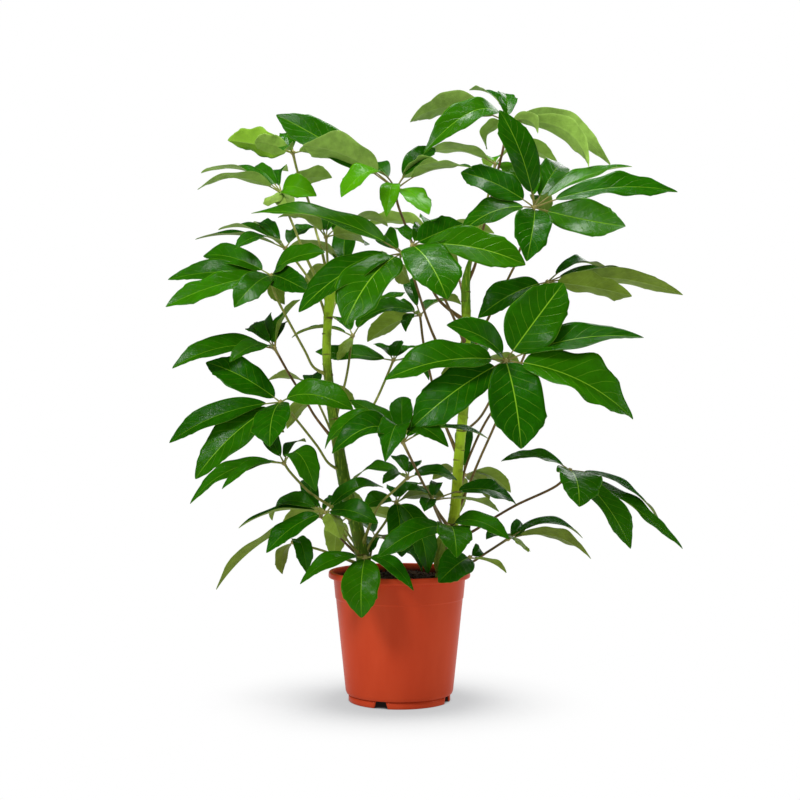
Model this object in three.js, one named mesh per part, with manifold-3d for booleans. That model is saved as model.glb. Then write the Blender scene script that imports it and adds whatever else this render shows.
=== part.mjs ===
// A potted umbrella plant: two trunks in one soft plastic nursery pot, and on them the fronds, each a long
// leaf stalk that ends in a hub with leaflets spread round it like the ribs of an umbrella. It is in
// millimetres, with +Z up.

import * as THREE from "three";
import { mergeVertices } from "three/addons/utils/BufferGeometryUtils.js";
import Module from "manifold-3d";

const wasm = await Module();
wasm.setup();

// Where the plant is looked at from: a frond's points are written as they are seen from there, in the plane
// of the pot's axis: across, up, and how far nearer the eye the point stands than that plane.
const EYE_DISTANCE = 2600;
const EYE_HEIGHT = 520;

// The pot's axis in the part's own frame, which has its origin in the middle of the plant's foot print.
const POT_AXIS = [-48, -17];

// Pot
const POT_SIDES = 30;
const POT_HEIGHT = 218;
const LIP_RADIUS = 120;
const LIP_HEIGHT = 11;
const WALL_TOP_RADIUS = 111.5;
const WALL_FOOT_RADIUS = 91;
const BAND_HEIGHT = 172;
const BAND_STEP = 0.9;
const WALL = 2;
const FLOOR_HEIGHT = 12;
const SKIRT_RADIUS = 86;
const SKIRT_WALL = 2.6;
const NOTCH_TOP = 17;
const NOTCH_FOOT = 25;
const NOTCH_ANGLES = [-111, -21, 69, 159];
const DRAIN_RADIUS = 6.5;

// Soil
const SOIL_LEVEL = 206;
const SOIL_LUMP = 3;
const GAP = 0.3;

// Trunks: [across, up, near, radius] from the foot in the soil to the sheathed tip
const TRUNK_SIDES = 8;
const TRUNKS = {
  left: [
    [-44, 150, 4, 11], [-50, 195, 4, 12], [-62, 240, 3, 12], [-72, 290, 2, 11.5], [-92, 365, 0, 11],
    [-107, 450, -2, 9.5], [-115, 500, -3, 8.5], [-123, 580, -4, 7.5], [-121, 640, -4, 7.5],
    [-117, 682, -4, 8.5], [-112, 722, -3, 6], [-110, 745, -3, 2],
  ],
  right: [
    [62, 150, 0, 9], [68, 195, 0, 10], [80, 250, 0, 10], [91, 300, 0, 9.5], [96, 340, 1, 9],
    [101, 420, 2, 8.5], [109, 500, 3, 8.5], [111, 570, 3, 8], [113, 640, 2, 8], [112, 700, 1, 7.5],
    [116, 728, 0, 5], [118, 742, 0, 2],
  ],
};

// Fronds. stem and foot: the trunk that carries the frond and the height of its sheath on it. route: the
// stalk's way, [across, up], and near where it leaves the straight line between its ends. hub: [across, up,
// near]. axis: the way that the open umbrella faces, [right, up, near]. leaflets: the tip's [across, up],
// how far nearer the eye it is than the hub, the blade's width, its roll in degrees, if any, how far it
// arches up as a share of its length, and the share that is its own stalk. shank: that share for the
// frond's other leaflets, where it isn't the usual one.
const FRONDS = {
  a: {
    stem: "left", foot: 690, route: [[-131, 758, -20], [-141, 792, -48], [-152, 838, -48], [-171, 889, -12]],
    hub: [-180, 924, 10], axis: [-0.3, 0.9, 0.1],
    leaflets: [
      [-244, 944, 45, 36, 55, 0.14], [-290, 945, -45, 60, 66, 0.04], [-192, 957, -60, 24],
      [-168, 955, -40, 18], [-98, 912, 30, 42, -35], [-196, 928, 60, 24],
    ],
  },
  b: {
    stem: "right", foot: 638, route: [[70, 672], [50, 705], [30, 750], [12, 797], [-3, 838]],
    hub: [-6, 863, 70], axis: [-0.2, 0.9, 0.1], shank: 0.22,
    leaflets: [
      [-163, 937, 60, 78, 28, 0.12], [-208, 988, -40, 58, -50, 0.05], [60, 932, -60, 40, 30],
      [-22, 816, 70, 32, -20, 0.34], [-98, 849, 90, 50, -26, 0.3, 0.4], [50, 820, 100, 40],
      [122, 899, 90, 50, -20], [72, 905, -30, 46, -35], [-60, 905, -130, 40],
    ],
  },
  c: {
    stem: "left", foot: 668, route: [[-155, 742], [-166, 768], [-183, 810], [-196, 840]],
    hub: [-200, 857, -50], axis: [-0.4, 0.9, 0],
    leaflets: [
      [-341, 862, 70, 54], [-335, 890, -50, 56], [-256, 888, -110, 30], [-188, 893, -100, 26],
      [-188, 832, 50, 36, 165, -0.1], [-140, 851, 42, 46, 45, 0.3], [-114, 882, -60, 50, -15],
      [-222, 834, 46, 36, 165, -0.1],
    ],
  },
  d: {
    stem: "left", foot: 690, route: [[-120, 716, 13], [-122, 750, 22]],
    hub: [-124, 782, 28], axis: [0, 1, 0.1],
    leaflets: [
      [-205, 815, 30, 44, 20], [-172, 835, -55, 38], [-58, 768, 70, 50, -50], [-20, 800, -80, 55],
      [-110, 805, -100, 40],
    ],
  },
  e: {
    stem: "right", foot: 515, route: [[65, 600], [48, 640], [38, 670], [22, 720], [12, 742]],
    hub: [5, 755, 110], axis: [-0.5, 0.5, 0.7],
    leaflets: [
      [-250, 822, -40, 74, 36, 0.1], [-170, 655, 50, 75], [-92, 634, 90, 88, -16], [18, 706, -70, 40],
      [-25, 785, -60, 36],
    ],
  },
  g: {
    stem: "right", foot: 600, route: [[85, 660], [50, 728]],
    hub: [22, 768, 170], axis: [0.2, 0.35, 0.9],
    leaflets: [
      [-5, 795, -50, 26], [108, 804, -30, 56, -18, 0.04], [213, 735, 10, 74, -18, 0.1],
      [81, 677, 90, 86, 0, 0.12, 0.05], [38, 799, -60, 30],
    ],
  },
  h: {
    stem: "right", foot: 700, route: [[128, 735], [140, 790], [155, 848], [160, 870], [175, 930]],
    hub: [182, 977, -20], axis: [0.1, 1, 0],
    leaflets: [
      [18, 976, 60, 56, 40, 0.21], [42, 925, 110, 56, -40, 0.28], [118, 1030, -60, 34],
      [178, 1024, -90, 36], [320, 900, 40, 48, -50, 0.36], [357, 903, -50, 46, -45, 0.34],
      [234, 957, 20, 34, -40, 0.35], [148, 930, 10, 46, 40, 0.3],
    ],
  },
  i: {
    stem: "right", foot: 680, route: [[120, 735], [149, 848]],
    hub: [162, 905, -70], axis: [0, 1, 0.1],
    leaflets: [
      [40, 922, 50, 55, 10], [148, 893, -90, 34], [192, 862, 70, 34], [272, 898, -60, 46, -30, 0.3],
    ],
  },
  j: {
    stem: "right", foot: 560, route: [[147, 638, -40], [187, 718, -60], [195, 735, -50], [210, 780, -10]],
    hub: [228, 832, 70], axis: [0.2, 0.8, 0.45], shank: 0.15,
    leaflets: [
      [169, 996, 10, 60, -25], [104, 891, -50, 56, -34, 0.1], [104, 789, 20, 74], [215, 741, 110, 62],
      [382, 800, 70, 66, 45, -0.04], [470, 858, -10, 58, 14, 0.1], [393, 901, -70, 54, -16, 0.08],
      [275, 905, -130, 50], [196, 905, -110, 40], [250, 806, -50, 36, -40, 0.6],
    ],
  },
  k: {
    stem: "right", foot: 455, route: [[118, 460], [140, 482], [165, 530]],
    hub: [180, 573, 200], axis: [0.1, 0.35, 0.93],
    leaflets: [
      [277, 704, -30, 88, 0, 0.04], [80, 633, 60, 54, 18, 0.14], [-25, 540, 10, 70, 22, 0.12],
      [22, 460, 30, 76, 12, 0.1], [206, 424, 60, 94, 0, 0.12, 0.04], [395, 474, 10, 92, -18, 0.14],
      [413, 612, -20, 64, -32, 0.09],
    ],
  },
  l: {
    stem: "right", foot: 305, route: [[108, 340], [135, 405], [163, 468], [224, 612], [231, 625]],
    hub: [250, 706, -20], axis: [0.3, 0.9, 0.1],
    leaflets: [
      [133, 645, 30, 62, -35, 0.12], [479, 684, -10, 54, -32, 0.09], [393, 682, 60, 56, -40, 0.04],
      [424, 700, -80, 46, -5, 0.12], [350, 714, -120, 36],
    ],
  },
  m: {
    stem: "right", foot: 335, route: [[105, 370], [120, 415], [148, 473]],
    hub: [195, 540, -30], axis: [0.2, 0.9, 0],
    leaflets: [[300, 535, -100, 42], [85, 508, -60, 36], [118, 530, -110, 36], [184, 552, -130, 30]],
  },
  n: {
    stem: "right", foot: 410, route: [[75, 470], [65, 497], [43, 590], [36, 640]],
    hub: [35, 650, 20], axis: [-0.3, 0.9, 0.2],
    leaflets: [
      [-66, 640, 30, 46, -30, 0.2], [17, 707, -110, 24], [-40, 664, -70, 36], [-54, 605, -60, 50, 42, 0.1],
      [11, 622, 70, 26], [104, 668, -70, 40],
    ],
  },
  o: {
    stem: "left", foot: 470, route: [[-94, 527], [-87, 560], [-83, 590]],
    hub: [-79, 615, -90], axis: [-0.2, 1, 0],
    leaflets: [
      [-182, 612, -30, 30], [-104, 573, 40, 28, 165, -0.1], [10, 688, -50, 52, 24, 0.12],
      [-104, 640, -90, 32],
    ],
  },
  p: {
    stem: "left", foot: 640, route: [[-140, 690], [-170, 735]],
    hub: [-193, 763, -50], axis: [-0.4, 0.9, 0],
    leaflets: [
      [-345, 778, 20, 36, -10, 0.1], [-306, 794, -80, 36, 4, 0.12], [-278, 762, 110, 42, -34, 0.16],
      [-242, 797, -120, 28], [-137, 797, -100, 46, 22, 0.1],
    ],
  },
  q: {
    stem: "left", foot: 548, route: [[-145, 562], [-160, 590], [-190, 645], [-212, 690]],
    hub: [-216, 717, 40], axis: [-0.5, 0.8, 0.3],
    leaflets: [
      [-331, 750, -70, 46, -10, 0.12], [-391, 710, -30, 46, -22, 0.07], [-395, 664, 40, 50, -38, 0.08],
      [-279, 663, 110, 50, -45, 0.1, 0.05], [-126, 756, 80, 48, 22, 0.12],
      [-150, 688, 100, 46, 22, 0.12, 0.06], [-194, 668, -60, 30],
    ],
  },
  r: {
    stem: "left", foot: 430, route: [[-140, 475], [-160, 508], [-185, 548]],
    hub: [-211, 594, 10], axis: [-0.4, 0.85, 0.3],
    leaflets: [
      [-384, 560, 40, 54, -24, 0.13], [-287, 571, 120, 40, -30, 0.12], [-256, 626, -110, 28],
      [-226, 640, -150, 40], [-190, 638, -90, 34], [-168, 676, -50, 44, -30, 0.1],
    ],
  },
  s: {
    stem: "left", foot: 385, route: [[-120, 400], [-140, 430], [-178, 478]],
    hub: [-201, 503, 70], axis: [-0.35, 0.6, 0.7],
    leaflets: [
      [-327, 570, -50, 58, 8, 0.1, 0.08], [-389, 434, 10, 50, -6, 0.12], [-345, 373, 40, 66, -6, 0.1],
      [-219, 428, 110, 64, 0, 0.1, 0.04], [-78, 490, 60, 58, -6, 0.2], [-195, 452, -80, 35],
    ],
  },
  t: {
    stem: "left", foot: 300, route: [[-143, 344], [-160, 358], [-185, 385]],
    hub: [-195, 400, 110], axis: [-0.4, 0.8, 0.4],
    leaflets: [
      [-354, 331, 40, 48, -8, 0.17], [-300, 356, 90, 26, -10, 0.14], [-158, 436, -100, 26],
      [-141, 352, 60, 48, -16, 0.5, 0.22], [-214, 436, -110, 32],
    ],
  },
  u: {
    stem: "left", foot: 240, route: [[-85, 265], [-105, 295]],
    hub: [-124, 316, 90], axis: [-0.2, 0.8, 0.5],
    leaflets: [
      [-27, 359, -40, 44, 0, 0.2], [-36, 298, 60, 42, 6, 0.16], [-186, 341, -90, 20],
      [-272, 290, -10, 34, 22, 0.12], [-215, 303, -70, 38, -6, 0.3], [-225, 248, 50, 46, -4, 0.12],
      [-100, 272, 80, 36, 165, -0.12],
    ],
  },
  v: {
    stem: "left", foot: 225, route: [[-125, 250], [-160, 260]],
    hub: [-180, 266, -20], axis: [-0.2, 1, 0],
    leaflets: [[-156, 213, 50, 32, 0, 0.5], [-198, 212, -40, 32, 0, 0.2]],
  },
  w: {
    stem: "left", foot: 235, route: [[-85, 258], [-118, 292]],
    hub: [-133, 310, -40], axis: [-0.4, 0.9, 0],
    leaflets: [[-310, 186, -20, 54, 12, 0.1], [-60, 330, -90, 40], [-150, 370, -120, 36]],
  },
  x: {
    stem: "left", foot: 215, route: [[-58, 228]],
    hub: [-58, 240, 105], axis: [-0.1, 0.8, 0.6],
    leaflets: [
      [-64, 138, 55, 62, 0, 0.2, 0.05], [-168, 195, 40, 36, 0, 0.2], [24, 184, 50, 28, 0, 0.26],
    ],
  },
  y: {
    stem: "right", foot: 235, route: [[80, 262]],
    hub: [84, 292, 120], axis: [0.1, 0.7, 0.6],
    leaflets: [
      [-37, 241, 60, 46, -6, 0.2], [97, 240, 120, 58, 0, 0.14, 0.05], [186, 271, 70, 38, 4, 0.22],
      [63, 214, -95, 22, 0, 0.1],
    ],
  },
  z: {
    stem: "right", foot: 270, route: [[62, 318]],
    hub: [56, 337, 130], axis: [0, 0.8, 0.5],
    leaflets: [
      [12, 354, 40, 22], [65, 366, -60, 22], [42, 318, 60, 26], [198, 329, -70, 42, 10, 0.2, 0.25],
      [168, 318, -100, 38, -30, 0.08, 0.3],
    ],
  },
  aa: {
    stem: "right", foot: 285, route: [[65, 318], [55, 338], [42, 362], [27, 392]],
    hub: [6, 435, 180], axis: [-0.1, 0.6, 0.75],
    leaflets: [
      [-114, 416, 50, 60, 6, 0.36], [-126, 424, -20, 48, 10, 0.42], [-24, 402, 90, 46, 0, 0.45],
      [5, 512, -70, 38], [83, 427, 70, 40, -10, 0.36], [151, 441, 0, 34, -38, 0.16], [65, 482, -70, 36],
      [-86, 506, -60, 42, 20, 0.1],
    ],
  },
  ac: {
    stem: "left", foot: 255, route: [[-38, 322], [-6, 356]],
    hub: [14, 375, 95], axis: [0, 0.9, 0.3],
    leaflets: [
      [-82, 362, -75, 38, -10, 0.22], [-28, 365, 50, 26], [-10, 409, -80, 26], [25, 392, -90, 34],
      [98, 370, -40, 36, 12, 0.16],
    ],
  },
  ad: {
    stem: "left", foot: 228, route: [[-50, 262], [-24, 300]],
    hub: [-5, 334, 20], axis: [0, 0.9, 0.3],
    leaflets: [
      [-62, 322, 0, 40, -16, 0.2], [-8, 352, -80, 30], [4, 241, 40, 52, 0, 0.16, 0.06],
      [48, 213, 50, 48, 8, 0.3, 0.08], [38, 364, -50, 26], [76, 342, -60, 44, -48, 0.1],
    ],
  },
  ae: {
    stem: "left", foot: 208, route: [[-48, 250]],
    hub: [-40, 275, -40], axis: [0, 1, 0],
    leaflets: [
      [-80, 300, -70, 40], [-56, 245, 34, 36], [-10, 262, -60, 34], [38, 216, 40, 52, 0, 0.16],
    ],
  },
  af: {
    stem: "right", foot: 215, route: [[118, 230], [150, 250]],
    hub: [184, 272, 40], axis: [0.4, 0.85, 0.2],
    leaflets: [
      [324, 238, 30, 42, -40, 0.18], [310, 273, -60, 32, -6, 0.2], [214, 252, 80, 40, 165, -0.1],
      [147, 271, 70, 34], [206, 300, -60, 26, 20],
    ],
  },
  ag: {
    stem: "right", foot: 205, route: [[90, 225, 30]],
    hub: [119, 240, 60], axis: [0.2, 0.6, 0.7],
    leaflets: [
      [66, 198, 56, 56, 0, 0.16, 0.08], [136, 256, -40, 22, 20], [181, 214, -20, 32, -60, 0.1],
    ],
  },
  ba: {
    stem: "right", foot: 620, route: [[108, 680], [90, 740]],
    hub: [60, 770, -200], axis: [0, 0.8, -0.5],
    leaflets: [
      [-60, 798, -90, 50], [160, 788, -80, 50], [46, 700, -110, 50], [90, 704, -60, 46],
      [44, 806, -110, 50],
    ],
  },
  bb: {
    stem: "left", foot: 600, route: [[-112, 660]],
    hub: [-90, 720, -190], axis: [-0.1, 0.8, -0.5],
    leaflets: [
      [-190, 762, -70, 50], [-10, 740, -90, 50], [-108, 668, -80, 46], [-84, 796, -110, 50],
      [-162, 700, -60, 46],
    ],
  },
  bc: {
    stem: "right", foot: 400, route: [[112, 480]],
    hub: [130, 560, -200], axis: [0.1, 0.8, -0.5],
    leaflets: [
      [40, 580, -90, 50], [208, 556, -80, 40], [70, 528, -90, 42], [180, 486, -60, 50],
      [122, 628, -110, 46],
    ],
  },
  bd: {
    stem: "left", foot: 360, route: [[-115, 450]],
    hub: [-140, 508, -160], axis: [-0.2, 0.8, -0.5],
    leaflets: [[-222, 540, -80, 40], [-74, 496, -90, 40], [-190, 458, -80, 34], [-146, 548, -110, 36]],
  },
  be: {
    stem: "right", foot: 290, route: [[95, 335]],
    hub: [110, 380, -190], axis: [0, 0.8, -0.5],
    leaflets: [
      [56, 372, -60, 36], [188, 350, -80, 40], [100, 312, -60, 26], [152, 338, -70, 36],
      [112, 455, -110, 34],
    ],
  },
  bf: {
    stem: "left", foot: 245, route: [[-80, 270]],
    hub: [-100, 300, -170], axis: [-0.1, 0.8, -0.5],
    leaflets: [[-200, 290, -70, 50], [0, 300, -90, 50], [-110, 235, -90, 45], [-100, 350, -90, 45]],
  },
  ah: {
    stem: "right", foot: 262, route: [[127, 286], [160, 307], [200, 330], [265, 361]],
    hub: [288, 388, 70], axis: [0.3, 0.8, 0.45],
    leaflets: [
      [172, 403, 30, 34, 0, 0.16], [304, 326, 90, 78, 0, 0.12, 0.05], [391, 255, 60, 58, 6, 0.1],
      [479, 255, 0, 46, -8, 0.05], [443, 295, -40, 34, -8, 0.14],
    ],
  },
  ab: {
    stem: "left", foot: 420, route: [[-62, 470], [-40, 505], [-22, 545]],
    hub: [-10, 574, -110], axis: [0, 0.95, 0.2],
    leaflets: [
      [-142, 588, -30, 46, -24, 0.02], [-44, 601, -40, 22], [2, 607, -30, 24], [32, 597, -60, 28],
      [50, 540, 30, 36],
    ],
  },
};

// Leaflets. A pair is the least value and how much a draw may add to it. Lengths along a leaflet are shares.
const LEAFLET_STALK = 0.12;
const LEAFLET_STALK_RADIUS = 1.5;
const LEAFLET_ROOT = 3.2;
const LEAFLET_ARCH = [0.1, 0.1];
const FOLD = [8, 14];
const TWIST = 26;
const WAVE = 0.06;
const WAVES = 1.6;
const SHOULDER = [0.84, 0.22];
const FULLNESS = 0.56;
const TIP_START = 0.66;
const TIP_TAPER = 0.46;
const LOBE = 0.07;
const LOBES = 1.3;
const BLADE = 0.8;
const MIDRIB = 1.2;
const STATIONS = { large: [0.06, 0.3, 0.6, 0.85], middling: [0.1, 0.45, 0.8], small: [0.2, 0.7] };
const LARGE_LEAFLET = 205;
const SMALL_LEAFLET = 130;

// Leaf stalks
const STALK_SIDES = 4;
const STALK_RADIUS = 2.1;
const SHEATH_RADIUS = 5;
const HUB_RADIUS = 6.5;

const degrees = THREE.MathUtils.degToRad;

// A number from 0 to 1 that is always the same for the same seed.
function draw(seed) {
  const wide = Math.sin(seed * 12.9898) * 43758.5453;
  return wide - Math.floor(wide);
}

function seen(across, up, near) {
  const shrink = (EYE_DISTANCE - near) / EYE_DISTANCE;
  return new THREE.Vector3(across * shrink, -near, EYE_HEIGHT + (up - EYE_HEIGHT) * shrink);
}

// A smooth way through points: u from 0 to 1.
function along(points, u) {
  const reach = u * (points.length - 1);
  const i = Math.min(Math.floor(reach), points.length - 2);
  const t = reach - i;
  const [p, q] = [points[i], points[i + 1]];
  const before = points[i - 1] ?? p.clone().multiplyScalar(2).sub(q);
  const after = points[i + 2] ?? q.clone().multiplyScalar(2).sub(p);
  const value = (a, b, c, d) =>
    0.5 * (2 * b + (c - a) * t + (2 * a - 5 * b + 4 * c - d) * t * t + (3 * b - a - 3 * c + d) * t ** 3);
  return new THREE.Vector3(
    value(before.x, p.x, q.x, after.x),
    value(before.y, p.y, q.y, after.y),
    value(before.z, p.z, q.z, after.z),
  );
}

// A closed skin over sections with as many points each. From turned on, the sides are split on the other
// diagonal, which splits a blade's underside as its top is split.
function loft(sections, turned = Infinity) {
  const count = sections[0].length;
  const corners = [];
  const triangle = (...points) => {
    const [a, b, c] = points;
    if (a.distanceTo(b) > 1e-4 && b.distanceTo(c) > 1e-4 && c.distanceTo(a) > 1e-4) {
      points.forEach((point) => corners.push(point.x, point.y, point.z));
    }
  };
  for (let i = 0; i + 1 < sections.length; i += 1) {
    for (let j = 0; j < count; j += 1) {
      const [a, b] = [sections[i][j], sections[i][(j + 1) % count]];
      const [c, d] = [sections[i + 1][(j + 1) % count], sections[i + 1][j]];
      if (j < turned) {
        triangle(a, b, c);
        triangle(a, c, d);
      } else {
        triangle(a, b, d);
        triangle(b, c, d);
      }
    }
  }
  const [first, last] = [sections[0], sections.at(-1)];
  for (let j = 1; j + 1 < count; j += 1) {
    triangle(first[0], first[j + 1], first[j]);
    triangle(last[0], last[j], last[j + 1]);
  }
  const geometry = new THREE.BufferGeometry();
  geometry.setAttribute("position", new THREE.Float32BufferAttribute(corners, 3));
  return geometry;
}

function solid(geometry) {
  const bare = geometry.clone();
  bare.deleteAttribute("normal");
  bare.deleteAttribute("uv");
  const merged = mergeVertices(bare, 1e-4);
  const index = merged.index.array;
  const kept = [];
  for (let i = 0; i < index.length; i += 3) {
    const [a, b, c] = [index[i], index[i + 1], index[i + 2]];
    if (a !== b && b !== c && c !== a) kept.push(a, b, c);
  }
  return new wasm.Manifold(new wasm.Mesh({
    numProp: 3,
    vertProperties: new Float32Array(merged.attributes.position.array),
    triVerts: new Uint32Array(kept),
  }));
}

function mesh(name, body, material) {
  const { vertProperties, triVerts } = body.getMesh();
  const geometry = new THREE.BufferGeometry();
  geometry.setAttribute("position", new THREE.Float32BufferAttribute(vertProperties, 3));
  geometry.setIndex([...triVerts]);
  geometry.computeVertexNormals();
  const made = new THREE.Mesh(geometry, material);
  made.name = name;
  return made;
}

// A round or oval rod along points, with a radius at each.
function rod(points, radii, sides) {
  const sections = points.map((point, i) => {
    const next = points[Math.min(i + 1, points.length - 1)];
    const ahead = next.clone().sub(points[Math.max(i - 1, 0)]).normalize();
    const side = new THREE.Vector3().crossVectors(ahead, new THREE.Vector3(0, 1, 0)).normalize();
    const top = new THREE.Vector3().crossVectors(side, ahead);
    return Array.from({ length: sides }, (_, j) => {
      const turn = (-2 * Math.PI * j) / sides;
      return point.clone()
        .addScaledVector(side, radii[i] * Math.cos(turn))
        .addScaledVector(top, radii[i] * Math.sin(turn));
    });
  });
  return loft(sections);
}

// Half the width of a blade at s, from 0 at its foot to 1 at its tip, as a share of half its greatest width.
// side is 0 left of the midrib and 1 right of it.
function outline(s, side, seed) {
  const full = Math.sin(Math.PI * s ** (SHOULDER[0] + SHOULDER[1] * draw(seed + 0.8))) ** FULLNESS;
  const tip = 1 - TIP_TAPER * Math.max(0, (s - TIP_START) / (1 - TIP_START)) ** 2;
  return full * tip * (1 + LOBE * Math.sin(2 * Math.PI * (LOBES * s + draw(seed + side + 0.9))));
}

// A leaflet's midrib: for u from 0 at the hub to 1 at the tip its place, and the ways across the blade and
// up from it.
function ribOf(hub, tip, facing, roll, arch, seed) {
  const reach = tip.clone().sub(hub);
  const length = reach.length();
  const ahead = reach.clone().divideScalar(length);
  const top = facing.clone().addScaledVector(ahead, -facing.dot(ahead)).normalize()
    .applyAxisAngle(ahead, degrees(roll));
  const across = new THREE.Vector3().crossVectors(ahead, top);
  const rise = arch ?? LEAFLET_ARCH[0] + LEAFLET_ARCH[1] * draw(seed + 0.2);
  const bend = hub.clone().addScaledVector(reach, 0.5).addScaledVector(top, rise * 2 * length);
  const twist = degrees(TWIST) * (draw(seed + 0.3) - 0.5);
  return (u) => {
    const place = hub.clone().multiplyScalar((1 - u) ** 2)
      .addScaledVector(bend, 2 * u * (1 - u)).addScaledVector(tip, u * u);
    const way = bend.clone().sub(hub).multiplyScalar(1 - u)
      .addScaledVector(tip.clone().sub(bend), u).normalize();
    const up = new THREE.Vector3().crossVectors(across, way).applyAxisAngle(way, twist * u * u);
    return { place, up, side: across.clone().applyAxisAngle(way, twist * u * u) };
  };
}

// The two edges of a blade at s along it.
function edgesOf(rib, shank, width, s, seed) {
  const { place, side, up } = rib(shank + (1 - shank) * s);
  const fold = degrees(FOLD[0] + FOLD[1] * draw(seed + 0.1));
  return [0, 1].map((k) => {
    const half = 0.5 * width * outline(s, k, seed);
    const swing = Math.sin(2 * Math.PI * (WAVES * s + draw(seed + k + 0.4)));
    const wave = WAVE * width * swing * Math.sin(Math.PI * s);
    return place.clone().addScaledVector(side, (k ? 1 : -1) * half * Math.cos(fold))
      .addScaledVector(up, half * Math.sin(fold) + wave);
  });
}

function leafletOf(hub, tip, facing, shank, width, roll, arch, seed) {
  const length = hub.distanceTo(tip);
  const rib = ribOf(hub, tip, facing, roll, arch, seed);
  const stalk = (u) => {
    const { place, side, up } = rib(u);
    const [left, right] = [-1, 1].map((sign) => place.clone()
      .addScaledVector(up, -LEAFLET_STALK_RADIUS).addScaledVector(side, sign * LEAFLET_STALK_RADIUS));
    return [left, place.addScaledVector(up, LEAFLET_STALK_RADIUS), right, right, left, left];
  };
  const blade = (s) => {
    const { place, up } = rib(shank + (1 - shank) * s);
    const [left, right] = edgesOf(rib, shank, width, s, seed);
    const below = (point, depth) => point.clone().addScaledVector(up, -depth);
    const keel = below(place, BLADE + MIDRIB * (1 - s));
    return [left, place, right, below(right, BLADE), keel, below(left, BLADE)];
  };
  const tipOf = () => {
    const { place, up } = rib(1);
    const below = place.clone().addScaledVector(up, -BLADE);
    return [place, place, place, below, below, below];
  };
  const size = length > LARGE_LEAFLET ? "large" : length > SMALL_LEAFLET ? "middling" : "small";
  const root = (0.01 * LEAFLET_ROOT) / hub.distanceTo(rib(0.01).place);
  return loft([stalk(root), stalk(shank), ...STATIONS[size].map(blade), tipOf()], 3);
}

function frondOf({ stem, foot, route, hub, axis, leaflets, shank = LEAFLET_STALK }, seed) {
  const trunk = TRUNKS[stem];
  const above = trunk.findIndex((ring) => ring[1] > foot);
  const [low, high] = [trunk[above - 1], trunk[above]];
  const share = (foot - low[1]) / (high[1] - low[1]);
  const start = low.map((value, i) => value + (high[i] - value) * share);
  const flat = [start.slice(0, 3), ...route, hub];
  const run = flat.map((point, i) => flat.slice(1, i + 1)
    .reduce((sum, next, k) => sum + Math.hypot(next[0] - flat[k][0], next[1] - flat[k][1]), 0));
  const points = flat.map(([across, up, near], i) =>
    seen(across, up, near ?? start[2] + (hub[2] - start[2]) * (run[i] / run.at(-1))));
  const steps = points.length + 1;
  const way = Array.from({ length: steps + 1 }, (_, i) => along(points, i / steps));
  const radii = way.map((_, i) => [SHEATH_RADIUS, (SHEATH_RADIUS + STALK_RADIUS) / 2][i] ?? STALK_RADIUS);
  const centre = points.at(-1);
  const facing = new THREE.Vector3(axis[0], -axis[2], axis[1]).normalize();
  const pieces = leaflets.map(([across, up, nearer, width, roll = 0, arch, own = shank], k) =>
    solid(leafletOf(centre, seen(across, up, hub[2] + nearer), facing, own, width, roll, arch, seed + k)));
  const knob = new THREE.OctahedronGeometry(HUB_RADIUS, 0).translate(...centre);
  return wasm.Manifold.union([solid(rod(way, radii, STALK_SIDES)), solid(knob), ...pieces]);
}

function trunkOf(rings, grown) {
  const points = rings.map(([across, up, near]) => seen(across, up, near));
  const radii = rings.map((ring) => ring[3] + grown);
  if (grown) {
    points[0].z -= grown;
    points.at(-1).z += grown;
  }
  return solid(rod(points, radii, TRUNK_SIDES));
}

function lathe(profile, sides) {
  const points = profile.map(([r, z]) => new THREE.Vector2(r, z));
  return new THREE.LatheGeometry(points, sides).rotateX(Math.PI / 2);
}

function potOf() {
  const rim = POT_HEIGHT;
  const lip = POT_HEIGHT - LIP_HEIGHT;
  const body = lathe([
    [0, FLOOR_HEIGHT], [SKIRT_RADIUS - SKIRT_WALL, FLOOR_HEIGHT], [SKIRT_RADIUS - SKIRT_WALL, 0],
    [SKIRT_RADIUS, 0], [SKIRT_RADIUS, FLOOR_HEIGHT - 1],
    [WALL_FOOT_RADIUS - 2, FLOOR_HEIGHT + 0.5], [WALL_FOOT_RADIUS, FLOOR_HEIGHT + 5],
    [WALL_TOP_RADIUS - 4.2, BAND_HEIGHT], [WALL_TOP_RADIUS - 4 + BAND_STEP, BAND_HEIGHT + 3],
    [WALL_TOP_RADIUS, lip], [LIP_RADIUS - 1.2, lip + 1], [LIP_RADIUS, lip + 4],
    [LIP_RADIUS - 0.6, rim - 1.5], [LIP_RADIUS - 2.4, rim], [WALL_TOP_RADIUS + 0.5, rim - 1],
    [WALL_TOP_RADIUS - WALL, lip - 2],
    [WALL_FOOT_RADIUS - WALL, FLOOR_HEIGHT + 5], [WALL_FOOT_RADIUS - WALL - 2, FLOOR_HEIGHT + WALL],
    [0, FLOOR_HEIGHT + WALL],
  ], POT_SIDES);
  const side = new THREE.Shape([
    new THREE.Vector2(-NOTCH_FOOT / 2, -1), new THREE.Vector2(NOTCH_FOOT / 2, -1),
    new THREE.Vector2(NOTCH_TOP / 2, FLOOR_HEIGHT - 1), new THREE.Vector2(-NOTCH_TOP / 2, FLOOR_HEIGHT - 1),
  ]);
  return NOTCH_ANGLES.reduce((pot, angle) => {
    const notch = new THREE.ExtrudeGeometry(side, { depth: 12, bevelEnabled: false })
      .rotateX(Math.PI / 2).translate(0, -SKIRT_RADIUS + 7, 0).rotateZ(degrees(angle));
    const drain = new THREE.CylinderGeometry(DRAIN_RADIUS, DRAIN_RADIUS, 3 * WALL, 10)
      .rotateX(Math.PI / 2).translate(0, -SKIRT_RADIUS + 14, FLOOR_HEIGHT + WALL / 2)
      .rotateZ(degrees(angle));
    return pot.subtract(solid(notch)).subtract(solid(drain));
  }, solid(body));
}

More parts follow.
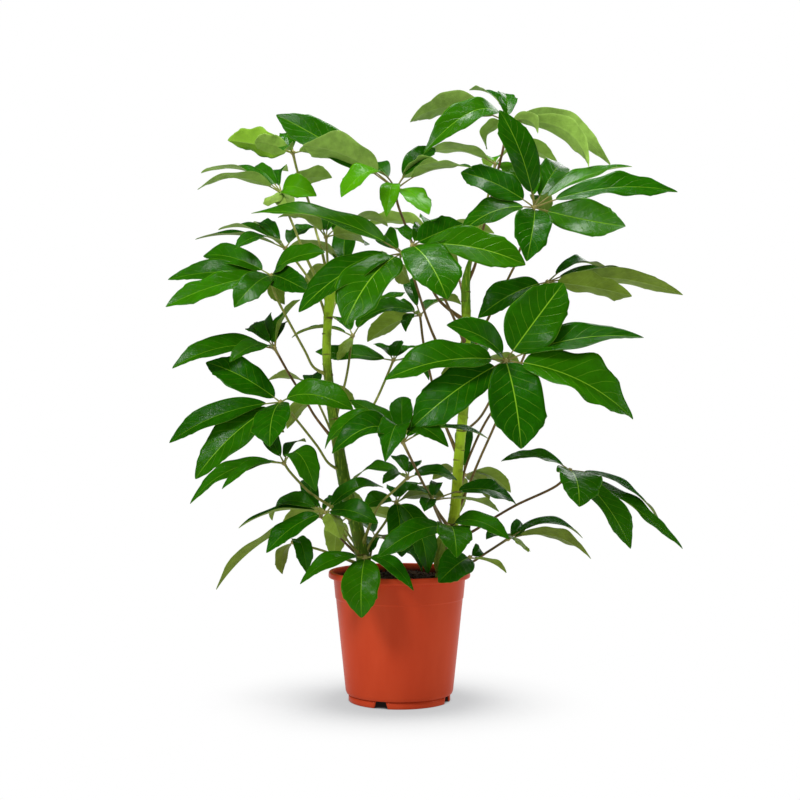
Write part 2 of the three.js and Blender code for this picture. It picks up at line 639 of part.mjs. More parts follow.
function soilOf() {
  const foot = FLOOR_HEIGHT + WALL + GAP;
  const inside = WALL_FOOT_RADIUS - WALL - GAP;
  const slope = (WALL_TOP_RADIUS - WALL_FOOT_RADIUS) / (POT_HEIGHT - LIP_HEIGHT - 2 - FLOOR_HEIGHT - 5);
  const edge = inside + slope * (SOIL_LEVEL - 4 - FLOOR_HEIGHT - 5) - 0.6;
  const geometry = lathe([
    [0, foot], [inside - 2.5, foot], [inside - 0.5, FLOOR_HEIGHT + 5], [edge, SOIL_LEVEL - 4],
    [edge * 0.85, SOIL_LEVEL], [edge * 0.6, SOIL_LEVEL], [edge * 0.3, SOIL_LEVEL], [0, SOIL_LEVEL],
  ], POT_SIDES / 2);
  const place = geometry.attributes.position;
  for (let i = 0; i < place.count; i += 1) {
    if (place.getZ(i) > SOIL_LEVEL - 1) {
      const lump = Math.sin(place.getX(i) * 0.07 + 1) + Math.sin(place.getY(i) * 0.09);
      place.setZ(i, SOIL_LEVEL + SOIL_LUMP * 0.5 * lump);
    }
  }
  return solid(geometry);
}

const finish = (color, roughness) => new THREE.MeshStandardMaterial({ color, roughness, metalness: 0 });
const potPlastic = finish(0xb8442a, 0.45);
const darkSoil = finish(0x2a211b, 1);
const trunkBark = finish(0x7c8a35, 0.6);
const leafSkin = finish(0x2f6414, 0.35);

const plant = new THREE.Group();
plant.position.set(POT_AXIS[0], POT_AXIS[1], 0);

const trunks = { left: trunkOf(TRUNKS.left, 0), right: trunkOf(TRUNKS.right, 0) };
const sockets = trunkOf(TRUNKS.left, GAP).add(trunkOf(TRUNKS.right, GAP));

plant.add(mesh("pot", potOf(), potPlastic));
plant.add(mesh("soil", soilOf().subtract(sockets), darkSoil));
for (const [name, body] of Object.entries(trunks)) {
  plant.add(mesh(`trunk_${name}`, body, trunkBark));
}
Object.entries(FRONDS).forEach(([name, frond], i) => {
  plant.add(mesh(`frond_${name}`, frondOf(frond, 10 * i).subtract(sockets), leafSkin));
});

export default plant;
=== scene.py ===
"""A tall umbrella plant in a terracotta-coloured nursery pot, seen level from half its height, in mm."""

import math

import bmesh
import bpy
import numpy as np
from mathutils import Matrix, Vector, noise


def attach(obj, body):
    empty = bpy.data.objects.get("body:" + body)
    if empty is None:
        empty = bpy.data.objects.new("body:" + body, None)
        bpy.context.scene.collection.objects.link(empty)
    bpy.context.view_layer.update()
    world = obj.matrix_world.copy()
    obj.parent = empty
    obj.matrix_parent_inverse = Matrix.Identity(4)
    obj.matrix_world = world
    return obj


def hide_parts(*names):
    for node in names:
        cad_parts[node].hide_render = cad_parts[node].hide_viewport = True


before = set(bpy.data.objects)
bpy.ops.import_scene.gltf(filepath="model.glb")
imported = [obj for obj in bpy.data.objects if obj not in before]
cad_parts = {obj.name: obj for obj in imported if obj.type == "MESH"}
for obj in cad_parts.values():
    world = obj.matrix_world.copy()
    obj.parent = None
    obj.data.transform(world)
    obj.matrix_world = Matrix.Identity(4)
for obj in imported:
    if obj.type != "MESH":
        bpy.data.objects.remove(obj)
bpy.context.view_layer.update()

# The pot is one thin soft plastic moulding, with a rolled lip and a faint band below it. It stands on a
# skirt ring that lifts the floor, and four notches in the skirt let out the water from the drain holes.
MM = 0.001
POT_AXIS = (-48, -17)
POT_HEIGHT = 218
LIP_RADIUS = 120
LIP_HEIGHT = 11
WALL_TOP_RADIUS = 111.5
WALL_FOOT_RADIUS = 91
BAND_HEIGHT = 172
BAND_INSET = 4
BAND_STEP = 0.9
WALL = 2
FLOOR_HEIGHT = 12
SKIRT_RADIUS = 86
SKIRT_WALL = 2.6
SKIRT_CHAMFER = 0.5
SKIRT_SINK = 0.6
SKIRT_STEPS = 26
NOTCH_TOP = 17
NOTCH_FOOT = 25
NOTCH_ANGLES = (-111, -21, 69, 159)
DRAIN_RADIUS = 6.5
DRAIN_INSET = 14
DRAIN_SIDES = 32
POT_SIDES = 160
CORNER_STEPS = 4


class Value:
    """A shader socket that takes part in sums as a number does."""

    def __init__(self, nodes, socket):
        self.nodes = nodes
        self.socket = socket

    def sum_of(self, operation, first, second=0.0):
        node = self.nodes.node("ShaderNodeMath", {"operation": operation}, {0: first, 1: second})
        return Value(self.nodes, node.outputs[0])

    def __add__(self, other):
        return self.sum_of("ADD", self, other)

    __radd__ = __add__

    def __sub__(self, other):
        return self.sum_of("SUBTRACT", self, other)

    def __rsub__(self, other):
        return self.sum_of("SUBTRACT", other, self)

    def __mul__(self, other):
        return self.sum_of("MULTIPLY", self, other)

    __rmul__ = __mul__

    def __abs__(self):
        return self.sum_of("ABSOLUTE", self)

    def __pow__(self, power):
        return self.sum_of("POWER", self, power)

    def part(self):
        """What is left of the value past its last whole number."""
        return self.sum_of("FRACT", self)

    def ramp(self, low, high, start=0.0, end=1.0):
        """Smoothly from start to end as the value goes from low to high."""
        node = self.nodes.node(
            "ShaderNodeMapRange", {"interpolation_type": "SMOOTHSTEP"},
            {0: self, 1: low, 2: high, 3: start, 4: end},
        )
        return Value(self.nodes, node.outputs[0])


class Nodes:
    """A node tree, with one method for any node that it takes."""

    def __init__(self, tree):
        self.tree = tree

    def set(self, node, sockets):
        for key, value in sockets.items():
            value = getattr(value, "socket", value)
            if isinstance(value, bpy.types.NodeSocket):
                self.tree.links.new(value, node.inputs[key])
            else:
                node.inputs[key].default_value = value

    def node(self, kind, settings=None, sockets=None):
        node = self.tree.nodes.new(kind)
        for key, value in (settings or {}).items():
            setattr(node, key, value)
        self.set(node, sockets or {})
        return node


class Finish(Nodes):
    """A material, and the places, marks, clouds and mixed colours that its look is worked out from."""

    def __init__(self, name, colour, roughness, **sockets):
        self.material = bpy.data.materials.new(name)
        self.material.use_nodes = True
        super().__init__(self.material.node_tree)
        self.shader = self.tree.nodes["Principled BSDF"]
        self.set(self.shader, {"Base Color": (*colour, 1), "Roughness": roughness, **sockets})

    def place(self):
        return self.node("ShaderNodeTexCoord").outputs["Object"]

    def attribute(self, name):
        return self.node("ShaderNodeAttribute", {"attribute_name": name}).outputs["Vector"]

    def split(self, vector):
        """The three numbers of a vector socket."""
        separate = self.node("ShaderNodeSeparateXYZ", None, {0: vector})
        return [Value(self, output) for output in separate.outputs]

    def cloud(self, scale, detail=3.0, rough=0.5, place=None):
        """Cloudy noise, about 0.5 all over, with lumps of 1 / scale metres."""
        node = self.node(
            "ShaderNodeTexNoise", None,
            {"Vector": place or self.place(), "Scale": scale, "Detail": detail, "Roughness": rough},
        )
        return Value(self, node.outputs["Fac"])

    def mix(self, share, first, second, blend="MIX"):
        settings = {"data_type": "RGBA", "blend_type": blend}
        first, second = (c if isinstance(c, bpy.types.NodeSocket) else (*c, 1) for c in (first, second))
        return self.node("ShaderNodeMix", settings, {0: share, 6: first, 7: second}).outputs[2]

    def bump(self, height, depth, strength=1.0):
        sockets = {"Height": height, "Distance": depth, "Strength": strength}
        self.set(self.shader, {"Normal": self.node("ShaderNodeBump", None, sockets).outputs[0]})


def shade(red, green, blue):
    """A screen colour from 0 to 255 as the linear colour that a material takes."""
    return tuple((c / 255 / 12.92 if c / 255 <= 0.04045 else ((c / 255 + 0.055) / 1.055) ** 2.4)
                 for c in (red, green, blue))


def piece(name, points, faces, materials, stands_for, skins=None):
    """A mesh from points in mm in the pot's frame, which rides the body and stands for its CAD nodes."""
    mesh = bpy.data.meshes.new(name)
    points = (np.asarray(points, float) + [POT_AXIS[0], POT_AXIS[1], 0]) * MM
    mesh.from_pydata(points.tolist(), [], faces)
    for finish in materials:
        mesh.materials.append(finish.material)
    if skins is not None:
        mesh.polygons.foreach_set("material_index", skins)
    mesh.polygons.foreach_set("use_smooth", [True] * len(mesh.polygons))
    mesh.update()
    made = bpy.data.objects.new(name, mesh)
    bpy.context.collection.objects.link(made)
    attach(made, "root")
    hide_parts(*stands_for)
    return made


def grid_faces(rows, columns, start=0, closed=True, flip=False):
    """Quads over rows of points. closed joins the last column to the first; flip turns the quads over."""
    faces = []
    for i in range(rows - 1):
        for j in range(columns if closed else columns - 1):
            a = start + i * columns + j
            b = start + i * columns + (j + 1) % columns
            faces.append((a, a + columns, b + columns, b) if flip else (a, b, b + columns, a + columns))
    return faces


def capped_faces(rings, sides):
    """Faces of closed rings, with a middle point before the first ring and one after the last."""
    faces = grid_faces(rings, sides, 1)
    last = 1 + rings * sides
    for j in range(sides):
        k = (j + 1) % sides
        faces.append((0, 1 + k, 1 + j))
        faces.append((last, last - sides + j, last - sides + k))
    return faces


def rounded(profile):
    """A profile of (radius, height, rounding) with each corner rounded by its own amount."""
    done = []
    count = len(profile)
    for i, (r, z, bend) in enumerate(profile):
        here = Vector((r, z))
        if bend == 0 or i in (0, count - 1):
            done.append((r, z))
            continue
        before, after = (Vector(profile[k][:2]) for k in (i - 1, i + 1))
        start = here + (before - here).normalized() * bend
        end = here + (after - here).normalized() * bend
        for k in range(CORNER_STEPS + 1):
            t = k / CORNER_STEPS
            done.append(tuple(start * (1 - t) ** 2 + here * (2 * t * (1 - t)) + end * t * t))
    return done


def turned(profile):
    """Points and faces of a profile turned round the pot's axis; it starts and ends on the axis."""
    rings = profile[1:-1]
    turn = np.arange(POT_SIDES) * 2 * math.pi / POT_SIDES
    points = [(0, 0, profile[0][1])]
    for r, z in rings:
        points.extend(zip(r * np.cos(turn), r * np.sin(turn), [z] * POT_SIDES))
    points.append((0, 0, profile[-1][1]))
    return points, capped_faces(len(rings), POT_SIDES)


LIP_FOOT = POT_HEIGHT - LIP_HEIGHT
pot_profile = rounded([
    (0, FLOOR_HEIGHT, 0), (WALL_FOOT_RADIUS - 2, FLOOR_HEIGHT + 0.5, 0.8),
    (WALL_FOOT_RADIUS, FLOOR_HEIGHT + 5, 2.4), (WALL_TOP_RADIUS - BAND_INSET - 0.2, BAND_HEIGHT, 0.8),
    (WALL_TOP_RADIUS - BAND_INSET + BAND_STEP, BAND_HEIGHT + 1.5, 0.6),
    (WALL_TOP_RADIUS, LIP_FOOT, 0.8), (LIP_RADIUS - 1, LIP_FOOT + 0.6, 1.0),
    (LIP_RADIUS, LIP_FOOT + 3, 1.0), (LIP_RADIUS - 0.6, POT_HEIGHT - 1, 1.5),
    (LIP_RADIUS - 2.4, POT_HEIGHT, 0.9), (WALL_TOP_RADIUS + 0.5, POT_HEIGHT - 0.6, 1.2),
    (WALL_TOP_RADIUS - WALL, LIP_FOOT - 2, 1.5),
    (WALL_FOOT_RADIUS - WALL, FLOOR_HEIGHT + 5, 2), (WALL_FOOT_RADIUS - WALL - 2, FLOOR_HEIGHT + WALL, 1),
    (0, FLOOR_HEIGHT + WALL, 0),
])


def drilled(points, faces):
    """The turned pot with a drain hole through its floor beside each notch."""
    mesh = bpy.data.meshes.new("pot_body")
    mesh.from_pydata(points, [], faces)
    body = bpy.data.objects.new("pot_body", mesh)
    bpy.context.collection.objects.link(body)
    reach = SKIRT_RADIUS - DRAIN_INSET
    drills = []
    for angle in NOTCH_ANGLES:
        turn = math.radians(angle)
        place = (reach * math.sin(turn), -reach * math.cos(turn), FLOOR_HEIGHT + WALL / 2)
        bpy.ops.mesh.primitive_cylinder_add(
            vertices=DRAIN_SIDES, radius=DRAIN_RADIUS, depth=3 * WALL, location=place)
        drills.append(bpy.context.object)
        cut = body.modifiers.new("drain", "BOOLEAN")
        cut.object, cut.operation, cut.solver = drills[-1], "DIFFERENCE", "EXACT"
    done = body.evaluated_get(bpy.context.evaluated_depsgraph_get()).to_mesh()
    result = [tuple(v.co) for v in done.vertices], [tuple(face.vertices) for face in done.polygons]
    for used in [body, *drills]:
        bpy.data.objects.remove(used)
    return result


pot_points, pot_faces = drilled(*turned(pot_profile))


def skirt_run(start, end):
    """The stretch of skirt between two notches, which slant in towards the top."""
    slant = math.degrees((NOTCH_FOOT - NOTCH_TOP) / 2 / SKIRT_RADIUS)
    inner = SKIRT_RADIUS - SKIRT_WALL
    rim = FLOOR_HEIGHT + SKIRT_SINK
    rows = []
    for k in range(SKIRT_STEPS + 1):
        t = k / SKIRT_STEPS
        foot = math.radians(start + slant + (end - start - 2 * slant) * t)
        top = math.radians(start + (end - start) * t)
        corners = (
            (SKIRT_RADIUS, SKIRT_CHAMFER, foot), (SKIRT_RADIUS, rim, top), (inner, rim, top),
            (inner, SKIRT_CHAMFER, foot), (inner + SKIRT_CHAMFER, 0, foot),
            (SKIRT_RADIUS - SKIRT_CHAMFER, 0, foot),
        )
        rows.append([(r * math.sin(turn), -r * math.cos(turn), z) for r, z, turn in corners])
    return rows


for notch, following in zip(NOTCH_ANGLES, NOTCH_ANGLES[1:] + (NOTCH_ANGLES[0] + 360,)):
    half = math.degrees(NOTCH_TOP / 2 / SKIRT_RADIUS)
    rows = skirt_run(notch + half, following - half)
    corners = len(rows[0])
    start = len(pot_points)
    for row in rows:
        pot_points.extend(row)
    end = len(pot_points)
    pot_faces.extend(grid_faces(len(rows), corners, start, flip=True))
    pot_faces.append(tuple(range(start, start + corners)))
    pot_faces.append(tuple(range(end - 1, end - 1 - corners, -1)))

pot_finish = Finish("pot_plastic", shade(188, 64, 30), 0.36, **{
    "Specular IOR Level": 0.03, "Coat Weight": 0.05, "Coat Roughness": 0.12})
pot_x, pot_y, pot_z = pot_finish.split(pot_finish.place())
out = ((pot_x - POT_AXIS[0] * MM) ** 2 + (pot_y - POT_AXIS[1] * MM) ** 2) ** 0.5
wall_slope = (WALL_TOP_RADIUS - WALL_FOOT_RADIUS) / (LIP_FOOT - FLOOR_HEIGHT)
wall_face = (pot_z - FLOOR_HEIGHT * MM) * wall_slope + WALL_FOOT_RADIUS * MM
# Painted shade: the inner wall just below the lip is darkened to a deep brown.
inner_wall_shade = (wall_face - out).ramp(0.4 * WALL * MM, 0.8 * WALL * MM) * pot_z.ramp(0.1, 0.12)
grain = pot_finish.cloud(420, 2)
streak = pot_finish.node("ShaderNodeMapping", None, {"Vector": pot_finish.place(), "Scale": (1, 1, 0.3)})
dull = pot_finish.cloud(13, 4, 0.5, streak.outputs[0])
scratch = pot_finish.cloud(160, 6, 0.7)
clean = pot_finish.mix(dull.ramp(0.3, 0.7), shade(180, 60, 30), shade(192, 70, 38))
scratched = pot_finish.mix(scratch.ramp(0.72, 0.8, 0, 0.3), clean, shade(210, 108, 78))
pot_finish.set(pot_finish.shader, {
    "Base Color": pot_finish.mix(inner_wall_shade * 0.85, scratched, shade(58, 26, 16)),
    "Roughness": dull * 0.16 + 0.26,
})
pot_finish.bump(grain, 0.00012, 0.5)
piece("nursery_pot", pot_points, pot_faces, [pot_finish], ["pot"])

# The soil is loose dark potting mix that has sunk a little below the lip, with lumps and crumbs on top. The
# trunks stand in it.
SOIL_LEVEL = 206
SOIL_LUMP = 3
SOIL_CRUMB = 1.6
SOIL_EDGE_DROP = 2.5
SOIL_INSET = 3
GAP = 0.3
SOIL_RINGS = 46
SOIL_SIDES = 120
CLODS = 420
CLOD_SIZE = (0.8, 2.6)


def draw(seed):
    """A number from 0 to 1 that is always the same for the same seed."""
    wide = math.sin(seed * 12.9898) * 43758.5453
    return wide - math.floor(wide)


def soil_height(x, y):
    lump = math.sin(x * 0.07 + 1) + math.sin(y * 0.09)
    crumb = noise.fractal(Vector((x, y, 0)) * 0.12, 0.6, 2.2, 4)
    return SOIL_LEVEL + SOIL_LUMP * 0.5 * lump + SOIL_CRUMB * crumb


soil_edge = WALL_TOP_RADIUS - WALL - GAP - SOIL_INSET
soil_foot = FLOOR_HEIGHT + WALL + GAP
soil_wall = (
    (WALL_FOOT_RADIUS - WALL - 3, soil_foot), (WALL_FOOT_RADIUS - WALL - GAP - 0.6, FLOOR_HEIGHT + 5),
    (soil_edge, SOIL_LEVEL - 5),
)
turns = np.arange(SOIL_SIDES) * 2 * math.pi / SOIL_SIDES
soil_points = [(0, 0, soil_foot)]
for radius, height in soil_wall:
    soil_points.extend((radius * math.cos(t), radius * math.sin(t), height) for t in turns)
for i in range(SOIL_RINGS, 0, -1):
    radius = soil_edge * i / SOIL_RINGS
    for t in turns:
        x, y = radius * math.cos(t), radius * math.sin(t)
        soil_points.append((x, y, soil_height(x, y) - SOIL_EDGE_DROP * (i / SOIL_RINGS) ** 8))
soil_points.append((0, 0, soil_height(0, 0)))
soil_faces = capped_faces(len(soil_wall) + SOIL_RINGS, SOIL_SIDES)
ball = bmesh.new()
bmesh.ops.create_icosphere(ball, subdivisions=1, radius=1)
ball_points = np.array([v.co[:] for v in ball.verts])
ball_faces = [[v.index for v in f.verts] for f in ball.faces]
ball.free()
for k in range(CLODS):
    reach = 0.97 * soil_edge * math.sqrt(draw(k + 0.5))
    turn = 2 * math.pi * draw(k + 900.5)
    size = CLOD_SIZE[0] + CLOD_SIZE[1] * draw(k + 1800.5) ** 3
    x, y = reach * math.cos(turn), reach * math.sin(turn)
    rough = np.array([1 + 0.35 * (draw(k * 7 + j) - 0.5) for j in range(len(ball_points))])[:, None]
    clod = ball_points * rough * [size * 1.3, size, size * 0.8] + [x, y, soil_height(x, y) + size * 0.3]
    start = len(soil_points)
    soil_points.extend(map(tuple, clod))
    soil_faces.extend([start + v for v in face] for face in ball_faces)

soil_finish = Finish("potting_soil", shade(52, 38, 28), 0.95, **{"Specular IOR Level": 0.1})
crumbs = soil_finish.cloud(260, 5, 0.7)
soil_finish.set(soil_finish.shader, {
    "Base Color": soil_finish.mix(crumbs.ramp(0.35, 0.68), shade(16, 11, 8), shade(66, 48, 34))})
soil_finish.bump(crumbs, 0.0015)
piece("potting_soil", soil_points, soil_faces, [soil_finish], ["soil"])

# The two trunks are young wood, rooted in the soil, green and a little brighter above, with brown scars
# ringing them where old fronds have dropped, and each ends in a thin tip. Their dark green low down, far
# higher on the left trunk, and the right trunk's darker top are painted shade under the fronds.
EYE_DISTANCE = 2600
EYE_HEIGHT = 520
# From foot to tip, [across, up, near, radius]. Across and up are as seen, in the plane of the pot's axis,
# and near is how far in front of that plane the point stands.
TRUNKS = {
    "left": [
        [-44, 150, 4, 11], [-50, 195, 4, 12], [-62, 240, 3, 12], [-72, 290, 2, 11.5], [-92, 365, 0, 11],
        [-107, 450, -2, 9.5], [-115, 500, -3, 8.5], [-123, 580, -4, 7.5], [-121, 640, -4, 7.5],
        [-117, 682, -4, 8.5], [-112, 722, -3, 6], [-110, 745, -3, 2],
    ],
    "right": [
        [62, 150, 0, 9], [68, 195, 0, 10], [80, 250, 0, 10], [91, 300, 0, 9.5], [96, 340, 1, 9],
        [101, 420, 2, 8.5], [109, 500, 3, 8.5], [111, 570, 3, 8], [113, 640, 2, 8], [112, 700, 1, 7.5],
        [116, 728, 0, 5], [118, 742, 0, 2],
    ],
}
TRUNK_SEEDS = {"left": 3, "right": 11}
TRUNK_STEPS = 420
TRUNK_SIDES = 28
SCAR_STEP = 21
SCAR_START = 0.72
SCAR_FADE = 60


def seen(across, up, near):
    """A point that is seen at across and up in the plane of the pot's axis, but stands nearer the eye."""
    shrink = (EYE_DISTANCE - near) / EYE_DISTANCE
    return np.array([across * shrink, -near, EYE_HEIGHT + (up - EYE_HEIGHT) * shrink])


def along(points, u):
    """A smooth way through points: u from 0 to 1."""
    reach = u * (len(points) - 1)
    i = min(int(reach), len(points) - 2)
    t = reach - i
    p, q = points[i], points[i + 1]
    before = points[i - 1] if i else 2 * p - q
    after = points[i + 2] if i + 2 < len(points) else 2 * q - p
    return 0.5 * (2 * p + (q - before) * t + (2 * before - 5 * p + 4 * q - after) * t * t
                  + (3 * p - before - 3 * q + after) * t ** 3)


def unit(vector):
    return vector / np.linalg.norm(vector)


def tube(way, radii, sides):
    """Points and faces of a rod along a way, with closed flat ends. radii may be one array a ring."""
    way = np.asarray(way, float)
    ahead = np.gradient(way, axis=0)
    turn = np.arange(sides) * 2 * math.pi / sides
    points = []
    for i, centre in enumerate(way):
        forward = unit(ahead[i])
        side = unit(np.cross(forward, [0, 1, 0] if abs(forward[1]) < 0.95 else [1, 0, 0]))
        top = np.cross(side, forward)
        ring = np.cos(turn)[:, None] * side + np.sin(turn)[:, None] * top
        points.extend(centre + ring * np.broadcast_to(radii[i], sides)[:, None])
    faces = grid_faces(len(way), sides)
    faces.append(tuple(range(sides))[::-1])
    faces.append(tuple(range(len(points) - sides, len(points))))
    return points, faces


def fix_way(faces, points):
    """Turns the faces so that a closed shell encloses a positive volume."""
    quads = [face for face in faces if len(face) == 4]
    corners = np.asarray(points, float)[np.array(quads)]
    corners -= np.mean(points, axis=0)
    halves = [np.cross(corners[:, i], corners[:, i + 1]) for i in (1, 2)]
    total = sum(np.sum(corners[:, 0] * half) for half in halves)
    return faces if total > 0 else [tuple(face)[::-1] for face in faces]


bark = Finish("trunk_bark", shade(120, 140, 50), 0.5, **{"Specular IOR Level": 0.15})
lengthways = bark.node("ShaderNodeMapping", None, {"Vector": bark.place(), "Scale": (1, 1, 0.18)})
fibre = bark.cloud(300, 4, 0.6, lengthways.outputs[0])
patch = bark.cloud(38, 4, 0.6)
left_right, _, height = bark.split(bark.place())
right = left_right.ramp(-0.09, 0)
scar = bark.split(bark.attribute("scar"))[0]
green = bark.mix(height.ramp(0.34, 0.5), shade(146, 172, 24), shade(162, 204, 38))
# Painted shade: the right trunk's top among the frond stalks, and both trunks low down, reaching far higher
# on the left one, go a darker green.
tip_shaded = bark.mix(height.ramp(0.62, 0.68) * right, green, shade(84, 132, 6))
foot_shaded = bark.mix((height + right * 0.33).ramp(0.53, 0.62), shade(70, 104, 8), tip_shaded)
streaked = bark.mix(fibre.ramp(0.5, 0.66, 0, 0.35), foot_shaded, shade(184, 210, 66))
patched = bark.mix(patch.ramp(0.48, 0.66, 0, 0.6), streaked, shade(84, 88, 24))
bark.set(bark.shader, {"Base Color": bark.mix(scar.ramp(0.3, 0.7, 0, 0.85), patched, shade(84, 68, 30))})
bark.bump(fibre + patch * 0.5, 0.0008)

for stem, rings in TRUNKS.items():
    seed = TRUNK_SEEDS[stem]
    spine = [seen(*ring[:3]) for ring in rings]
    widths = [np.array([ring[3]]) for ring in rings]
    way = [along(spine, i / TRUNK_STEPS) for i in range(TRUNK_STEPS + 1)]
    run = np.concatenate([[0], np.cumsum(np.linalg.norm(np.diff(way, axis=0), axis=1))])
    turn = np.arange(TRUNK_SIDES) * 2 * math.pi / TRUNK_SIDES
    radii, marks = [], []
    for i in range(len(way)):
        size = float(along(widths, i / TRUNK_STEPS)[0])
        knot = run[i] / SCAR_STEP + 0.35 * math.sin(run[i] * 0.05 + seed)
        at_scar = 1 - min(knot % 1, 1 - knot % 1) * 2
        bulge = max(0.0, at_scar - SCAR_START) / (1 - SCAR_START)
        lean = np.sin(turn + 2.4 * math.floor(knot + 0.5) + seed)
        fade = min(1.0, (run[-1] - run[i]) / SCAR_FADE)
        radii.append(size * (1 + 0.02 * np.sin(3 * turn + seed + 0.02 * run[i]))
                     + fade * (0.5 + 0.9 * np.maximum(lean, 0)) * bulge ** 2)
        marks.extend(bulge * (0.35 + 0.65 * np.maximum(lean, 0)) * fade)
    points, faces = tube(way, radii, TRUNK_SIDES)
    made = piece(
        f"trunk_bark_{stem}", points, fix_way(faces, points), [bark], [f"trunk_{stem}"])
    layer = made.data.attributes.new("scar", "FLOAT", "POINT")
    layer.data.foreach_set("value", np.array(marks, dtype=np.float32))

# The fronds are the plant's leaves. Each has one long stalk that clasps its trunk with a sheath, a hub at
# the end, and leathery leaflets round the hub on short stalks of their own. They are glossy above and dull,
# pale green below.

